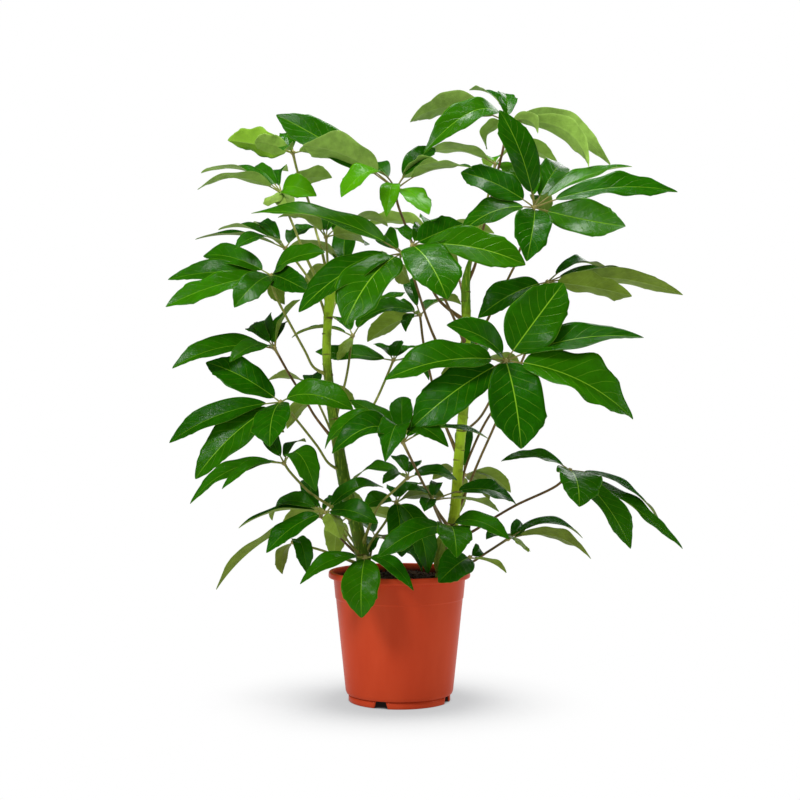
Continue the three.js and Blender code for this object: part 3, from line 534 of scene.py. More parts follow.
# stem and foot: the trunk that carries the frond and the height of its sheath on it. route: the stalk's
# way, [across, up], and near where it leaves the straight line between its ends. hub: [across, up, near].
# axis: the way that the open umbrella faces, [right, up, near]. leaflets: the tip's [across, up], how much
# nearer it is than the hub, the blade's width, its roll in degrees, how far it arches up as a share of its
# length, and the share that is its own stalk. shank: that share for the frond's other leaflets.
FRONDS = {
    "a": {
        "stem": "left", "foot": 690,
        "route": [[-131, 758, -20], [-141, 792, -48], [-152, 838, -48], [-171, 889, -12]],
        "hub": [-180, 924, 10], "axis": [-0.3, 0.9, 0.1],
        "leaflets": [
            [-244, 944, 45, 36, 55, 0.14], [-290, 945, -45, 60, 66, 0.04], [-192, 957, -60, 24],
            [-168, 955, -40, 18], [-98, 912, 30, 42, -35], [-196, 928, 60, 24],
        ],
    },
    "b": {
        "stem": "right", "foot": 638, "route": [[70, 672], [50, 705], [30, 750], [12, 797], [-3, 838]],
        "hub": [-6, 863, 70], "axis": [-0.2, 0.9, 0.1], "shank": 0.22,
        "leaflets": [
            [-163, 937, 60, 78, 28, 0.12], [-208, 988, -40, 58, -50, 0.05], [60, 932, -60, 40, 30],
            [-22, 816, 70, 32, -20, 0.34], [-98, 849, 90, 50, -26, 0.3, 0.4], [50, 820, 100, 40],
            [122, 899, 90, 50, -20], [72, 905, -30, 46, -35], [-60, 905, -130, 40],
        ],
    },
    "c": {
        "stem": "left", "foot": 668, "route": [[-155, 742], [-166, 768], [-183, 810], [-196, 840]],
        "hub": [-200, 857, -50], "axis": [-0.4, 0.9, 0],
        "leaflets": [
            [-341, 862, 70, 54], [-335, 890, -50, 56], [-256, 888, -110, 30], [-188, 893, -100, 26],
            [-188, 832, 50, 36, 165, -0.1], [-140, 851, 42, 46, 45, 0.3], [-114, 882, -60, 50, -15],
            [-222, 834, 46, 36, 165, -0.1],
        ],
    },
    "d": {
        "stem": "left", "foot": 690, "route": [[-120, 716, 13], [-122, 750, 22]], "hub": [-124, 782, 28],
        "axis": [0, 1, 0.1],
        "leaflets": [
            [-205, 815, 30, 44, 20], [-172, 835, -55, 38], [-58, 768, 70, 50, -50], [-20, 800, -80, 55],
            [-110, 805, -100, 40],
        ],
    },
    "e": {
        "stem": "right", "foot": 515, "route": [[65, 600], [48, 640], [38, 670], [22, 720], [12, 742]],
        "hub": [5, 755, 110], "axis": [-0.5, 0.5, 0.7],
        "leaflets": [
            [-250, 822, -40, 74, 36, 0.1], [-170, 655, 50, 75], [-92, 634, 90, 88, -16],
            [18, 706, -70, 40], [-25, 785, -60, 36],
        ],
    },
    "g": {
        "stem": "right", "foot": 600, "route": [[85, 660], [50, 728]], "hub": [22, 768, 170],
        "axis": [0.2, 0.35, 0.9],
        "leaflets": [
            [-5, 795, -50, 26], [108, 804, -30, 56, -18, 0.04], [213, 735, 10, 74, -18, 0.1],
            [81, 677, 90, 86, 0, 0.12, 0.05], [38, 799, -60, 30],
        ],
    },
    "h": {
        "stem": "right", "foot": 700,
        "route": [[128, 735], [140, 790], [155, 848], [160, 870], [175, 930]], "hub": [182, 977, -20],
        "axis": [0.1, 1, 0],
        "leaflets": [
            [18, 976, 60, 56, 40, 0.21], [42, 925, 110, 56, -40, 0.28], [118, 1030, -60, 34],
            [178, 1024, -90, 36], [320, 900, 40, 48, -50, 0.36], [357, 903, -50, 46, -45, 0.34],
            [234, 957, 20, 34, -40, 0.35], [148, 930, 10, 46, 40, 0.3],
        ],
    },
    "i": {
        "stem": "right", "foot": 680, "route": [[120, 735], [149, 848]], "hub": [162, 905, -70],
        "axis": [0, 1, 0.1],
        "leaflets": [
            [40, 922, 50, 55, 10], [148, 893, -90, 34], [192, 862, 70, 34], [272, 898, -60, 46, -30, 0.3],
        ],
    },
    "j": {
        "stem": "right", "foot": 560,
        "route": [[147, 638, -40], [187, 718, -60], [195, 735, -50], [210, 780, -10]],
        "hub": [228, 832, 70], "axis": [0.2, 0.8, 0.45], "shank": 0.15,
        "leaflets": [
            [169, 996, 10, 60, -25], [104, 891, -50, 56, -34, 0.1], [104, 789, 20, 74],
            [215, 741, 110, 62], [382, 800, 70, 66, 45, -0.04], [470, 858, -10, 58, 14, 0.1],
            [393, 901, -70, 54, -16, 0.08], [275, 905, -130, 50], [196, 905, -110, 40],
            [250, 806, -50, 36, -40, 0.6],
        ],
    },
    "k": {
        "stem": "right", "foot": 455, "route": [[118, 460], [140, 482], [165, 530]],
        "hub": [180, 573, 200], "axis": [0.1, 0.35, 0.93],
        "leaflets": [
            [277, 704, -30, 88, 0, 0.04], [80, 633, 60, 54, 18, 0.14], [-25, 540, 10, 70, 22, 0.12],
            [22, 460, 30, 76, 12, 0.1], [206, 424, 60, 94, 0, 0.12, 0.04], [395, 474, 10, 92, -18, 0.14],
            [413, 612, -20, 64, -32, 0.09],
        ],
    },
    "l": {
        "stem": "right", "foot": 305,
        "route": [[108, 340], [135, 405], [163, 468], [224, 612], [231, 625]], "hub": [250, 706, -20],
        "axis": [0.3, 0.9, 0.1],
        "leaflets": [
            [133, 645, 30, 62, -35, 0.12], [479, 684, -10, 54, -32, 0.09], [393, 682, 60, 56, -40, 0.04],
            [424, 700, -80, 46, -5, 0.12], [350, 714, -120, 36],
        ],
    },
    "m": {
        "stem": "right", "foot": 335, "route": [[105, 370], [120, 415], [148, 473]],
        "hub": [195, 540, -30], "axis": [0.2, 0.9, 0],
        "leaflets": [
            [300, 535, -100, 42], [85, 508, -60, 36], [118, 530, -110, 36], [184, 552, -130, 30],
        ],
    },
    "n": {
        "stem": "right", "foot": 410, "route": [[75, 470], [65, 497], [43, 590], [36, 640]],
        "hub": [35, 650, 20], "axis": [-0.3, 0.9, 0.2],
        "leaflets": [
            [-66, 640, 30, 46, -30, 0.2], [17, 707, -110, 24], [-40, 664, -70, 36],
            [-54, 605, -60, 50, 42, 0.1], [11, 622, 70, 26], [104, 668, -70, 40],
        ],
    },
    "o": {
        "stem": "left", "foot": 470, "route": [[-94, 527], [-87, 560], [-83, 590]],
        "hub": [-79, 615, -90], "axis": [-0.2, 1, 0],
        "leaflets": [
            [-182, 612, -30, 30], [-104, 573, 40, 28, 165, -0.1], [10, 688, -50, 52, 24, 0.12],
            [-104, 640, -90, 32],
        ],
    },
    "p": {
        "stem": "left", "foot": 640, "route": [[-140, 690], [-170, 735]], "hub": [-193, 763, -50],
        "axis": [-0.4, 0.9, 0],
        "leaflets": [
            [-345, 778, 20, 36, -10, 0.1], [-306, 794, -80, 36, 4, 0.12], [-278, 762, 110, 42, -34, 0.16],
            [-242, 797, -120, 28], [-137, 797, -100, 46, 22, 0.1],
        ],
    },
    "q": {
        "stem": "left", "foot": 548, "route": [[-145, 562], [-160, 590], [-190, 645], [-212, 690]],
        "hub": [-216, 717, 40], "axis": [-0.5, 0.8, 0.3],
        "leaflets": [
            [-331, 750, -70, 46, -10, 0.12], [-391, 710, -30, 46, -22, 0.07],
            [-395, 664, 40, 50, -38, 0.08], [-279, 663, 110, 50, -45, 0.1, 0.05],
            [-126, 756, 80, 48, 22, 0.12], [-150, 688, 100, 46, 22, 0.12, 0.06], [-194, 668, -60, 30],
        ],
    },
    "r": {
        "stem": "left", "foot": 430, "route": [[-140, 475], [-160, 508], [-185, 548]],
        "hub": [-211, 594, 10], "axis": [-0.4, 0.85, 0.3],
        "leaflets": [
            [-384, 560, 40, 54, -24, 0.13], [-287, 571, 120, 40, -30, 0.12], [-256, 626, -110, 28],
            [-226, 640, -150, 40], [-190, 638, -90, 34], [-168, 676, -50, 44, -30, 0.1],
        ],
    },
    "s": {
        "stem": "left", "foot": 385, "route": [[-120, 400], [-140, 430], [-178, 478]],
        "hub": [-201, 503, 70], "axis": [-0.35, 0.6, 0.7],
        "leaflets": [
            [-327, 570, -50, 58, 8, 0.1, 0.08], [-389, 434, 10, 50, -6, 0.12],
            [-345, 373, 40, 66, -6, 0.1], [-219, 428, 110, 64, 0, 0.1, 0.04], [-78, 490, 60, 58, -6, 0.2],
            [-195, 452, -80, 35],
        ],
    },
    "t": {
        "stem": "left", "foot": 300, "route": [[-143, 344], [-160, 358], [-185, 385]],
        "hub": [-195, 400, 110], "axis": [-0.4, 0.8, 0.4],
        "leaflets": [
            [-354, 331, 40, 48, -8, 0.17], [-300, 356, 90, 26, -10, 0.14], [-158, 436, -100, 26],
            [-141, 352, 60, 48, -16, 0.5, 0.22], [-214, 436, -110, 32],
        ],
    },
    "u": {
        "stem": "left", "foot": 240, "route": [[-85, 265], [-105, 295]], "hub": [-124, 316, 90],
        "axis": [-0.2, 0.8, 0.5],
        "leaflets": [
            [-27, 359, -40, 44, 0, 0.2], [-36, 298, 60, 42, 6, 0.16], [-186, 341, -90, 20],
            [-272, 290, -10, 34, 22, 0.12], [-215, 303, -70, 38, -6, 0.3], [-225, 248, 50, 46, -4, 0.12],
            [-100, 272, 80, 36, 165, -0.12],
        ],
    },
    "v": {
        "stem": "left", "foot": 225, "route": [[-125, 250], [-160, 260]], "hub": [-180, 266, -20],
        "axis": [-0.2, 1, 0],
        "leaflets": [
            [-156, 213, 50, 32, 0, 0.5], [-198, 212, -40, 32, 0, 0.2],
        ],
    },
    "w": {
        "stem": "left", "foot": 235, "route": [[-85, 258], [-118, 292]], "hub": [-133, 310, -40],
        "axis": [-0.4, 0.9, 0],
        "leaflets": [
            [-310, 186, -20, 54, 12, 0.1], [-60, 330, -90, 40], [-150, 370, -120, 36],
        ],
    },
    "x": {
        "stem": "left", "foot": 215, "route": [[-58, 228]], "hub": [-58, 240, 105],
        "axis": [-0.1, 0.8, 0.6],
        "leaflets": [
            [-64, 138, 55, 62, 0, 0.2, 0.05], [-168, 195, 40, 36, 0, 0.2], [24, 184, 50, 28, 0, 0.26],
        ],
    },
    "y": {
        "stem": "right", "foot": 235, "route": [[80, 262]], "hub": [84, 292, 120],
        "axis": [0.1, 0.7, 0.6],
        "leaflets": [
            [-37, 241, 60, 46, -6, 0.2], [97, 240, 120, 58, 0, 0.14, 0.05], [186, 271, 70, 38, 4, 0.22],
            [63, 214, -95, 22, 0, 0.1],
        ],
    },
    "z": {
        "stem": "right", "foot": 270, "route": [[62, 318]], "hub": [56, 337, 130], "axis": [0, 0.8, 0.5],
        "leaflets": [
            [12, 354, 40, 22], [65, 366, -60, 22], [42, 318, 60, 26], [198, 329, -70, 42, 10, 0.2, 0.25],
            [168, 318, -100, 38, -30, 0.08, 0.3],
        ],
    },
    "aa": {
        "stem": "right", "foot": 285, "route": [[65, 318], [55, 338], [42, 362], [27, 392]],
        "hub": [6, 435, 180], "axis": [-0.1, 0.6, 0.75],
        "leaflets": [
            [-114, 416, 50, 60, 6, 0.36], [-126, 424, -20, 48, 10, 0.42], [-24, 402, 90, 46, 0, 0.45],
            [5, 512, -70, 38], [83, 427, 70, 40, -10, 0.36], [151, 441, 0, 34, -38, 0.16],
            [65, 482, -70, 36], [-86, 506, -60, 42, 20, 0.1],
        ],
    },
    "ac": {
        "stem": "left", "foot": 255, "route": [[-38, 322], [-6, 356]], "hub": [14, 375, 95],
        "axis": [0, 0.9, 0.3],
        "leaflets": [
            [-82, 362, -75, 38, -10, 0.22], [-28, 365, 50, 26], [-10, 409, -80, 26], [25, 392, -90, 34],
            [98, 370, -40, 36, 12, 0.16],
        ],
    },
    "ad": {
        "stem": "left", "foot": 228, "route": [[-50, 262], [-24, 300]], "hub": [-5, 334, 20],
        "axis": [0, 0.9, 0.3],
        "leaflets": [
            [-62, 322, 0, 40, -16, 0.2], [-8, 352, -80, 30], [4, 241, 40, 52, 0, 0.16, 0.06],
            [48, 213, 50, 48, 8, 0.3, 0.08], [38, 364, -50, 26], [76, 342, -60, 44, -48, 0.1],
        ],
    },
    "ae": {
        "stem": "left", "foot": 208, "route": [[-48, 250]], "hub": [-40, 275, -40], "axis": [0, 1, 0],
        "leaflets": [
            [-80, 300, -70, 40], [-56, 245, 34, 36], [-10, 262, -60, 34], [38, 216, 40, 52, 0, 0.16],
        ],
    },
    "af": {
        "stem": "right", "foot": 215, "route": [[118, 230], [150, 250]], "hub": [184, 272, 40],
        "axis": [0.4, 0.85, 0.2],
        "leaflets": [
            [324, 238, 30, 42, -40, 0.18], [310, 273, -60, 32, -6, 0.2], [214, 252, 80, 40, 165, -0.1],
            [147, 271, 70, 34], [206, 300, -60, 26, 20],
        ],
    },
    "ag": {
        "stem": "right", "foot": 205, "route": [[90, 225, 30]], "hub": [119, 240, 60],
        "axis": [0.2, 0.6, 0.7],
        "leaflets": [
            [66, 198, 56, 56, 0, 0.16, 0.08], [136, 256, -40, 22, 20], [181, 214, -20, 32, -60, 0.1],
        ],
    },
    "ba": {
        "stem": "right", "foot": 620, "route": [[108, 680], [90, 740]], "hub": [60, 770, -200],
        "axis": [0, 0.8, -0.5],
        "leaflets": [
            [-60, 798, -90, 50], [160, 788, -80, 50], [46, 700, -110, 50], [90, 704, -60, 46],
            [44, 806, -110, 50],
        ],
    },
    "bb": {
        "stem": "left", "foot": 600, "route": [[-112, 660]], "hub": [-90, 720, -190],
        "axis": [-0.1, 0.8, -0.5],
        "leaflets": [
            [-190, 762, -70, 50], [-10, 740, -90, 50], [-108, 668, -80, 46], [-84, 796, -110, 50],
            [-162, 700, -60, 46],
        ],
    },
    "bc": {
        "stem": "right", "foot": 400, "route": [[112, 480]], "hub": [130, 560, -200],
        "axis": [0.1, 0.8, -0.5],
        "leaflets": [
            [40, 580, -90, 50], [208, 556, -80, 40], [70, 528, -90, 42], [180, 486, -60, 50],
            [122, 628, -110, 46],
        ],
    },
    "bd": {
        "stem": "left", "foot": 360, "route": [[-115, 450]], "hub": [-140, 508, -160],
        "axis": [-0.2, 0.8, -0.5],
        "leaflets": [
            [-222, 540, -80, 40], [-74, 496, -90, 40], [-190, 458, -80, 34], [-146, 548, -110, 36],
        ],
    },
    "be": {
        "stem": "right", "foot": 290, "route": [[95, 335]], "hub": [110, 380, -190],
        "axis": [0, 0.8, -0.5],
        "leaflets": [
            [56, 372, -60, 36], [188, 350, -80, 40], [100, 312, -60, 26], [152, 338, -70, 36],
            [112, 455, -110, 34],
        ],
    },
    "bf": {
        "stem": "left", "foot": 245, "route": [[-80, 270]], "hub": [-100, 300, -170],
        "axis": [-0.1, 0.8, -0.5],
        "leaflets": [
            [-200, 290, -70, 50], [0, 300, -90, 50], [-110, 235, -90, 45], [-100, 350, -90, 45],
        ],
    },
    "ah": {
        "stem": "right", "foot": 262, "route": [[127, 286], [160, 307], [200, 330], [265, 361]],
        "hub": [288, 388, 70], "axis": [0.3, 0.8, 0.45],
        "leaflets": [
            [172, 403, 30, 34, 0, 0.16], [304, 326, 90, 78, 0, 0.12, 0.05], [391, 255, 60, 58, 6, 0.1],
            [479, 255, 0, 46, -8, 0.05], [443, 295, -40, 34, -8, 0.14],
        ],
    },
    "ab": {
        "stem": "left", "foot": 420, "route": [[-62, 470], [-40, 505], [-22, 545]],
        "hub": [-10, 574, -110], "axis": [0, 0.95, 0.2],
        "leaflets": [
            [-142, 588, -30, 46, -24, 0.02], [-44, 601, -40, 22], [2, 607, -30, 24], [32, 597, -60, 28],
            [50, 540, 30, 36],
        ],
    },
}
# What stands for the end that a leaflet's row leaves off: its roll, its arch and its own stalk's share.
USUAL_END = (0, None, None)
USUAL_ARCH = (0.1, 0.1)
USUAL_SHANK = 0.12
FOLD = (8, 14)
TWIST = 26
WAVE = 0.06
WAVES = 1.6
SHOULDER = (0.84, 0.22)
FULLNESS = 0.56
TIP_START = 0.66
TIP_TAPER = 0.46
LOBE = 0.07
LOBES = 1.3
BLADE_THICKNESS = 0.5
MIDRIB_THICKNESS = 1.3
GROOVE = 0.35
QUILT = 0.45
# A blade this wide shows its midrib or its veins in full, and a narrower one finer or fainter.
MIDRIB_WIDTH = 68
CLEAR_WIDTH = 76
STALK_RADIUS = 2.1
STALK_STEPS = 64
STALK_SIDES = 12
SHEATH_RADIUS = 5.2
SHEATH_RUN = 5
HUB_RADIUS = 4.6
HUB_FLARE = 0.9
HUB_RUN = 2.5
SHANK_RADIUS = (1.5, 1.0)
SHANK_DROP = 0.9
SHANK_STEPS = 12
SHANK_SIDES = 8
VEIN_PAIRS = 8
VEIN_RISE = 0.24
VEIN_BEND = 1.1
VEIN_SHIFT = 0.45
TOOTH_DEPTH = 0.12
TOOTH_COUNT = 9
TOOTH_REACH = (0.62, 0.97)
RIPPLE = 0.05
RIPPLES = 3.4
# The leaflets, by their place in the frond, that are still fresh green, and the fronds with brown stalks.
YOUNG = {"a": [1], "b": [3, 4, 5], "c": [5], "i": [1, 2]}
BROWN_STALKS = "b e g h j k l m n y z aa af ag ah w r ba bc be".split()
ACROSS = np.array([-1, -0.86, -0.68, -0.5, -0.32, -0.16, -0.05, 0, 0.05, 0.16, 0.32, 0.5, 0.68, 0.86, 1])
STATIONS = np.concatenate([[0, 0.02, 0.05], np.linspace(0.09, 0.93, 27), [0.955, 0.975, 0.99, 1]])


def outline(s, side, seed):
    """Half the blade's width at s, from 0 at its foot to 1 at its tip, as a share of half its greatest."""
    shoulder = SHOULDER[0] + SHOULDER[1] * draw(seed + 0.8)
    full = np.sin(math.pi * np.clip(s, 0, 1) ** shoulder).clip(0) ** FULLNESS
    tip = 1 - TIP_TAPER * ((s - TIP_START) / (1 - TIP_START)).clip(0) ** 2
    luck = np.where(side, draw(seed + 1.9), draw(seed + 0.9))
    return full * tip * (1 + LOBE * np.sin(2 * math.pi * (LOBES * s + luck)))


def turn_about(vector, axis, angle):
    """Turns each vector about its own axis; axis and vector are rows of unit vectors."""
    angle = np.asarray(angle, float)[..., None]
    return (vector * np.cos(angle) + np.cross(axis, vector) * np.sin(angle)
            + axis * np.sum(axis * vector, axis=-1, keepdims=True) * (1 - np.cos(angle)))


def rib(hub, tip, facing, roll, arch, seed):
    """The leaflet's midrib, as a function of an array u: its places, and the ways across and up there."""
    reach = tip - hub
    length = np.linalg.norm(reach)
    ahead = reach / length
    top = turn_about(unit(facing - ahead * np.dot(facing, ahead)), ahead, math.radians(roll))
    side = np.cross(ahead, top)
    if arch is None:
        arch = USUAL_ARCH[0] + USUAL_ARCH[1] * draw(seed + 0.2)
    bend = hub + reach * 0.5 + top * arch * 2 * length
    twist = math.radians(TWIST) * (draw(seed + 0.3) - 0.5)

    def at(u):
        u = np.asarray(u, float)[:, None]
        place = hub * (1 - u) ** 2 + bend * 2 * u * (1 - u) + tip * u * u
        way = (bend - hub) * (1 - u) + (tip - bend) * u
        way /= np.linalg.norm(way, axis=1, keepdims=True)
        turn = twist * u[:, 0] ** 2
        return place, turn_about(side[None], way, turn), turn_about(np.cross(side, way), way, turn)

    return at, length


def blade(at, shank, width, seed):
    """The leaflet's blade: a closed shell, the skin of each face, and each point's spot on the blade."""
    fold = math.radians(FOLD[0] + FOLD[1] * draw(seed + 0.1))
    place, side, up = (way[:, None] for way in at(shank + (1 - shank) * STATIONS))
    s, a = np.meshgrid(STATIONS, ACROSS, indexing="ij")
    right = (a >= 0).astype(float)
    edge = np.abs(a)
    half = 0.5 * width * np.maximum(outline(s, right, seed), 0.02 + 0.05 * (1 - s) ** 8)
    luck = [np.where(right, draw(seed + start + 1), draw(seed + start)) for start in (0.4, 0.6)]
    saw = (s * TOOTH_COUNT + luck[1]) % 1
    toothed = ((s - TOOTH_REACH[0]) * 8).clip(0, 1) * ((TOOTH_REACH[1] - s) * 12).clip(0, 1)
    tooth = TOOTH_DEPTH * saw * toothed * edge ** 4
    wave = WAVE * width * np.sin(2 * math.pi * (WAVES * s + luck[0])) * np.sin(math.pi * s)
    ripple = RIPPLE * draw(seed + 2.6) ** 2 * edge ** 3 * np.sin(math.pi * s)
    ripple *= np.sin(2 * math.pi * (RIPPLES * s ** (1 + luck[0] * 0.4) + luck[1]))
    veins = VEIN_PAIRS * (s - VEIN_RISE * edge ** VEIN_BEND) + VEIN_SHIFT * right
    vein = np.abs(np.cos(math.pi * veins))
    quilt = QUILT * vein * (edge * 5).clip(0, 1) * (1 - edge ** 6) * np.sin(math.pi * s)
    across = a * half * (1 + tooth + np.roll(ripple, 2, axis=0))
    lift = half * edge ** 1.25 * math.sin(fold) + wave * edge ** 1.6 + width * ripple + quilt
    point = place + side * (across * math.cos(fold))[..., None] + up * lift[..., None]
    groove = np.where(edge < 0.01, GROOVE * (1 - s), 0)
    beside = np.where(edge < 0.06, MIDRIB_THICKNESS * 0.15, 0)
    ridge = np.where(edge < 0.01, MIDRIB_THICKNESS * (1 - 0.8 * s), beside)
    thick = BLADE_THICKNESS * (1 - 0.5 * edge ** 8) + ridge
    over = (point - up * groove[..., None]).reshape(-1, 3)
    under = (point - up * thick[..., None]).reshape(-1, 3)
    spots = np.stack([across * MIDRIB_WIDTH / width, s, a], axis=-1).reshape(-1, 3)
    columns, rows = len(ACROSS), len(STATIONS)
    count = columns * rows
    faces = grid_faces(rows, columns, 0, False, True) + grid_faces(rows, columns, count, False)
    quads = (rows - 1) * (columns - 1)
    skins = [0] * quads + [1] * quads
    border = [
        *range(columns), *range(2 * columns - 1, count, columns),
        *range(count - 2, count - columns - 1, -1), *range(columns * (rows - 2), 0, -columns),
    ]
    for i, j in zip(border, border[1:] + border[:1]):
        faces.append((i, j, j + count, i + count))
        skins.append(1)
    return list(over) + list(under), faces, skins, list(spots) * 2


def leaf_finish(name, shaded_low, dark, fresh, vein_colour, roughness, gloss):
    """One side of the blades. shaded_low is the painted-shade colour of the lowest, dark of the top, fresh
    of young ones.
    """
    leaf = Finish(name, dark, roughness, **{"IOR": 1.42, "Specular IOR Level": gloss})
    off, s, a = leaf.split(leaf.attribute("spot"))
    deep, young, clear = leaf.split(leaf.attribute("tone"))
    height = leaf.split(leaf.place())[2]
    edge = abs(a)
    midrib = abs(off).ramp(0.35, 0.95, 1, 0) * s.ramp(0.7, 1, 1, 0.2)
    wobble = leaf.cloud(60, 2)
    right = a.ramp(-0.01, 0.01)
    run = (s - edge ** VEIN_BEND * VEIN_RISE + wobble * 0.03) * VEIN_PAIRS + right * VEIN_SHIFT
    line = abs(run.part() - 0.5)
    side_vein = line.ramp(0.0, 0.045, 1, 0) * edge.ramp(0.6, 0.95, 1, 0) * s.ramp(0.02, 0.1)
    cells = leaf.node(
        "ShaderNodeTexVoronoi", {"feature": "DISTANCE_TO_EDGE"}, {"Vector": leaf.place(), "Scale": 330})
    net_line = Value(leaf, cells.outputs[0]).ramp(0.0, 0.12, 1, 0)
    patch = leaf.cloud(60, 4, 0.6)
    # By height, blades take painted shade low down and painted light towards the top; the upper side has
    # one colour for both.
    plain = leaf.mix(height.ramp(0.72, 0.95), shaded_low, dark)
    mottle = leaf.mix(patch.ramp(0.32, 0.7), (0.85, 0.85, 0.85), (1.2, 1.2, 1.2))
    tint = leaf.mix(1.0, plain, mottle, "MULTIPLY")
    aged = leaf.mix(deep * 0.38, tint, (0, 0, 0))
    fresher = leaf.mix(young, aged, fresh)
    veined = leaf.mix(side_vein * clear * 0.34 + net_line * 0.025, fresher, vein_colour)
    rimmed = leaf.mix(edge.ramp(0.965, 0.995, 0, 0.3), veined, vein_colour)
    leaf.set(leaf.shader, {
        "Base Color": leaf.mix(midrib * clear * 0.9, rimmed, vein_colour),
        "Roughness": patch * 0.16 + (roughness - 0.08),
    })
    uneven = leaf.cloud(70, 3) * 1.6 + leaf.cloud(400, 2) * 0.1
    leaf.bump(side_vein * -0.5 + net_line * -0.12 + uneven, 0.001, 0.6)
    return leaf


over_finish = leaf_finish(
    "leaf_upper", shaded_low=shade(24, 84, 0), dark=shade(24, 84, 0), fresh=shade(72, 142, 2),
    vein_colour=shade(132, 184, 40), roughness=0.18, gloss=0.09)
under_finish = leaf_finish(
    "leaf_under", shaded_low=shade(112, 134, 46), dark=shade(150, 188, 84), fresh=shade(130, 178, 40),
    vein_colour=shade(160, 190, 100), roughness=0.5, gloss=0.08)

stalk_finish = Finish("leaf_stalk", shade(130, 140, 60), 0.45, **{"Specular IOR Level": 0.15})
brown, far, _ = stalk_finish.split(stalk_finish.attribute("tone"))
mottle = stalk_finish.cloud(120, 4, 0.6)
young_stalk = stalk_finish.mix(mottle.ramp(0.35, 0.65), shade(120, 134, 50), shade(146, 152, 72))
old_stalk = stalk_finish.mix(mottle.ramp(0.35, 0.65), shade(84, 56, 38), shade(112, 78, 48))
plain_stalk = stalk_finish.mix(brown, young_stalk, old_stalk)
hub_stalk = stalk_finish.mix(far.ramp(0.9, 1), plain_stalk, shade(150, 140, 84))
stalk_finish.set(stalk_finish.shader, {"Base Color": hub_stalk})
stalk_finish.bump(mottle, 0.0004)


def foot_of(stem, foot):
    """Where a frond's stalk starts on its trunk."""
    rings = TRUNKS[stem]
    above = next(i for i, ring in enumerate(rings) if ring[1] > foot)
    low, high = np.array(rings[above - 1], float), np.array(rings[above], float)
    return low + (high - low) * (foot - low[1]) / (high[1] - low[1])


def frond_piece(name, frond, seed):
    """One frond as one mesh: its stalk, its hub, and the blade and short stalk of each leaflet.

    A blade's spots are how far a point is from the midrib, along and across, and its tone is how deep and
    how young its green is and how clear its veins. A stalk's tone is how brown and how far along it is.
    """
    points, faces, skins, spots, tones = [], [], [], [], []

    def add(new_points, new_faces, new_skins, new_spots, new_tones):
        start = len(points)
        points.extend(new_points)
        faces.extend(tuple(v + start for v in face) for face in new_faces)
        skins.extend(new_skins)
        spots.extend(new_spots)
        tones.extend(new_tones)

    def add_rod(way, radii, sides, tone):
        rod, rod_faces = tube(way, radii, sides)
        add(rod, fix_way(rod_faces, rod), [2] * len(rod_faces), [(0, 0, 0)] * len(rod),
            [(tone, i / (len(way) - 1), 0) for i in range(len(way)) for _ in range(sides)])

    start = foot_of(frond["stem"], frond["foot"])
    hub = frond["hub"]
    flat = [list(start[:3]), *frond["route"], hub]
    run = np.concatenate([[0], np.cumsum([math.dist(p[:2], q[:2]) for p, q in zip(flat, flat[1:])])])
    bends = [seen(p[0], p[1], p[2] if len(p) > 2 else start[2] + (hub[2] - start[2]) * run[i] / run[-1])
             for i, p in enumerate(flat)]
    way = [along(bends, i / STALK_STEPS) for i in range(STALK_STEPS + 1)]
    sheath, flare = (np.exp(-np.arange(STALK_STEPS + 1) / reach) for reach in (SHEATH_RUN, HUB_RUN))
    thick = STALK_RADIUS + (SHEATH_RADIUS - STALK_RADIUS) * sheath + HUB_FLARE * flare[::-1]
    stalk_brown = (0.85 if name in BROWN_STALKS else 0.15) + 0.15 * (draw(seed + 5.5) - 0.5)
    add_rod(way, thick, STALK_SIDES, stalk_brown)
    centre = bends[-1]
    knob = [centre + p * HUB_RADIUS * (0.9 + 0.2 * draw(seed + i)) for i, p in enumerate(ball_points)]
    add(knob, ball_faces, [2] * len(ball_faces), [(0, 0, 0)] * len(knob), [(stalk_brown, 1, 0)] * len(knob))
    facing = unit(np.array([frond["axis"][0], -frond["axis"][2], frond["axis"][1]], float))
    shank = frond.get("shank", USUAL_SHANK)
    for k, leaflet in enumerate(frond["leaflets"]):
        across, up, nearer, width, roll, arch, own = (*leaflet, *USUAL_END[len(leaflet) - 4:])
        mark = seed + k
        at, length = rib(centre, seen(across, up, hub[2] + nearer), facing, roll, arch, mark)
        own = own or shank
        new_points, new_faces, new_skins, new_spots = blade(at, own, width, mark)
        young = 0.85 if k in YOUNG.get(name, []) else 0.25 * draw(mark + 7.7) ** 2
        clear = min(1.0, width / CLEAR_WIDTH) ** 1.5 * (0.8 + 0.2 * draw(mark + 4.4))
        add(new_points, fix_way(new_faces, new_points), new_skins, new_spots,
            [(draw(mark + 3.3) * 0.7, young, clear)] * len(new_points))
        place, _, above = at(np.linspace(2 / length, own + 0.03, SHANK_STEPS))
        thick = np.linspace(*SHANK_RADIUS, SHANK_STEPS)
        add_rod(place - above * SHANK_DROP, thick, SHANK_SIDES, stalk_brown * 0.6)
    made = piece(f"leaves_{name}", points, faces, [over_finish, under_finish, stalk_finish],
                 [f"frond_{name}"], skins)
    for attribute, values in (("spot", spots), ("tone", tones)):
        layer = made.data.attributes.new(attribute, "FLOAT_VECTOR", "POINT")
        layer.data.foreach_set("vector", np.array(values, dtype=np.float32).ravel())


for order, (name, frond) in enumerate(FRONDS.items()):
    frond_piece(name, frond, 10 * order)
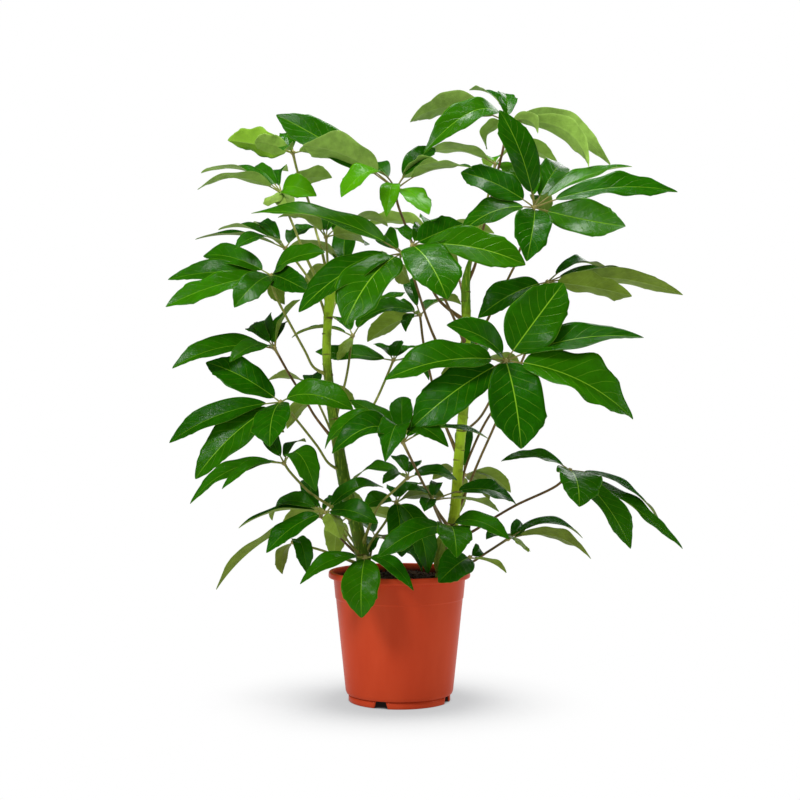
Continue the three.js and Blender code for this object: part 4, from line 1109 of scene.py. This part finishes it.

# The plant stands on a plain pale floor that runs out of sight, under soft studio light. The floor glows
# evenly white, and a painted shadow darkens it only where the pot closes off the sky over it.
FLOOR_REACH = 40.0
SHADOW_REACH = 0.27
ROOM_LIGHT = 0.55
ROOM_GLOSS = 0.05
floor_corners = [(x * FLOOR_REACH, y * FLOOR_REACH, 0) for x, y in ((-1, -1), (1, -1), (1, 1), (-1, 1))]
floor_mesh = bpy.data.meshes.new("floor")
floor_mesh.from_pydata(floor_corners, [], [(0, 1, 2, 3)])
floor_finish = Finish("pale_floor", (0, 0, 0), 1.0, **{"Specular IOR Level": 0.0, "Emission Strength": 1.0})
above = floor_finish.node("ShaderNodeAmbientOcclusion", {"samples": 24}, {"Distance": SHADOW_REACH})
open_sky = Value(floor_finish, above.outputs["AO"])
# Painted shadow: the glow dims where the pot closes off the sky, to near black right under it.
shadow = floor_finish.mix(open_sky.ramp(0.05, 0.5), shade(26, 20, 18), shade(202, 202, 203))
floor_finish.set(floor_finish.shader, {
    "Emission Color": floor_finish.mix(open_sky.ramp(0.6, 0.98), shadow, (1, 1, 1))})
floor_mesh.materials.append(floor_finish.material)
floor = bpy.data.objects.new("floor", floor_mesh)
bpy.context.collection.objects.link(floor)


def softbox(name, place, aim, size, power):
    """A light with a flat face of (width, height) that looks from its place to its aim, in metres."""
    light = bpy.data.lights.new(name, "AREA")
    light.shape = "RECTANGLE"
    light.size, light.size_y = size
    light.energy = power
    lamp = bpy.data.objects.new(name, light)
    lamp.location = place
    lamp.rotation_euler = (Vector(aim) - Vector(place)).to_track_quat("-Z", "Y").to_euler()
    bpy.context.collection.objects.link(lamp)


softbox("key_light", place=(-1.7, -1.9, 2.3), aim=(0, 0, 0.6), size=(0.7, 0.7), power=58)
softbox("side_light", place=(2.4, 0, 1.0), aim=(0, 0, 0.5), size=(0.12, 1.4), power=8)
softbox("top_light", place=(0, 0.3, 2.9), aim=(0, 0, 0.5), size=(0.7, 0.7), power=48)
softbox("back_light", place=(1.2, 2.4, 2.0), aim=(0, 0, 0.5), size=(1.2, 1.2), power=18)

world = bpy.data.worlds.new("studio")
bpy.context.scene.world = world
world.use_nodes = True
world.cycles.sampling_method = "NONE"
room = Nodes(world.node_tree)
ray = room.node("ShaderNodeLightPath").outputs
lit = room.node("ShaderNodeMapRange", None, {0: ray["Is Glossy Ray"], 3: ROOM_LIGHT, 4: ROOM_GLOSS})
strength = room.node("ShaderNodeMix", None, {0: ray["Is Camera Ray"], 2: lit.outputs[0], 3: 1.0})
room.set(room.tree.nodes["Background"], {"Color": (1, 1, 1, 1), "Strength": strength.outputs[0]})
bpy.context.scene.view_settings.view_transform = "Standard"

# The plant is seen from the front, level with its middle and 2.6 m from the pot's axis, as in the photo.
EYE_SHIFT = 1
PHOTO_WIDTH = 800
FOCAL_PIXELS = 1538
HORIZON_ROW = 392
camera = bpy.data.cameras.new("camera")
camera.sensor_width = 36
camera.lens = camera.sensor_width * FOCAL_PIXELS / PHOTO_WIDTH
viewer = bpy.data.objects.new("camera", camera)
viewer.location = ((POT_AXIS[0] + EYE_SHIFT) * MM, (POT_AXIS[1] - EYE_DISTANCE) * MM, EYE_HEIGHT * MM)
viewer.rotation_euler = (math.pi / 2 - math.atan((PHOTO_WIDTH / 2 - HORIZON_ROW) / FOCAL_PIXELS), 0, 0)
bpy.context.collection.objects.link(viewer)
bpy.context.scene.camera = viewer
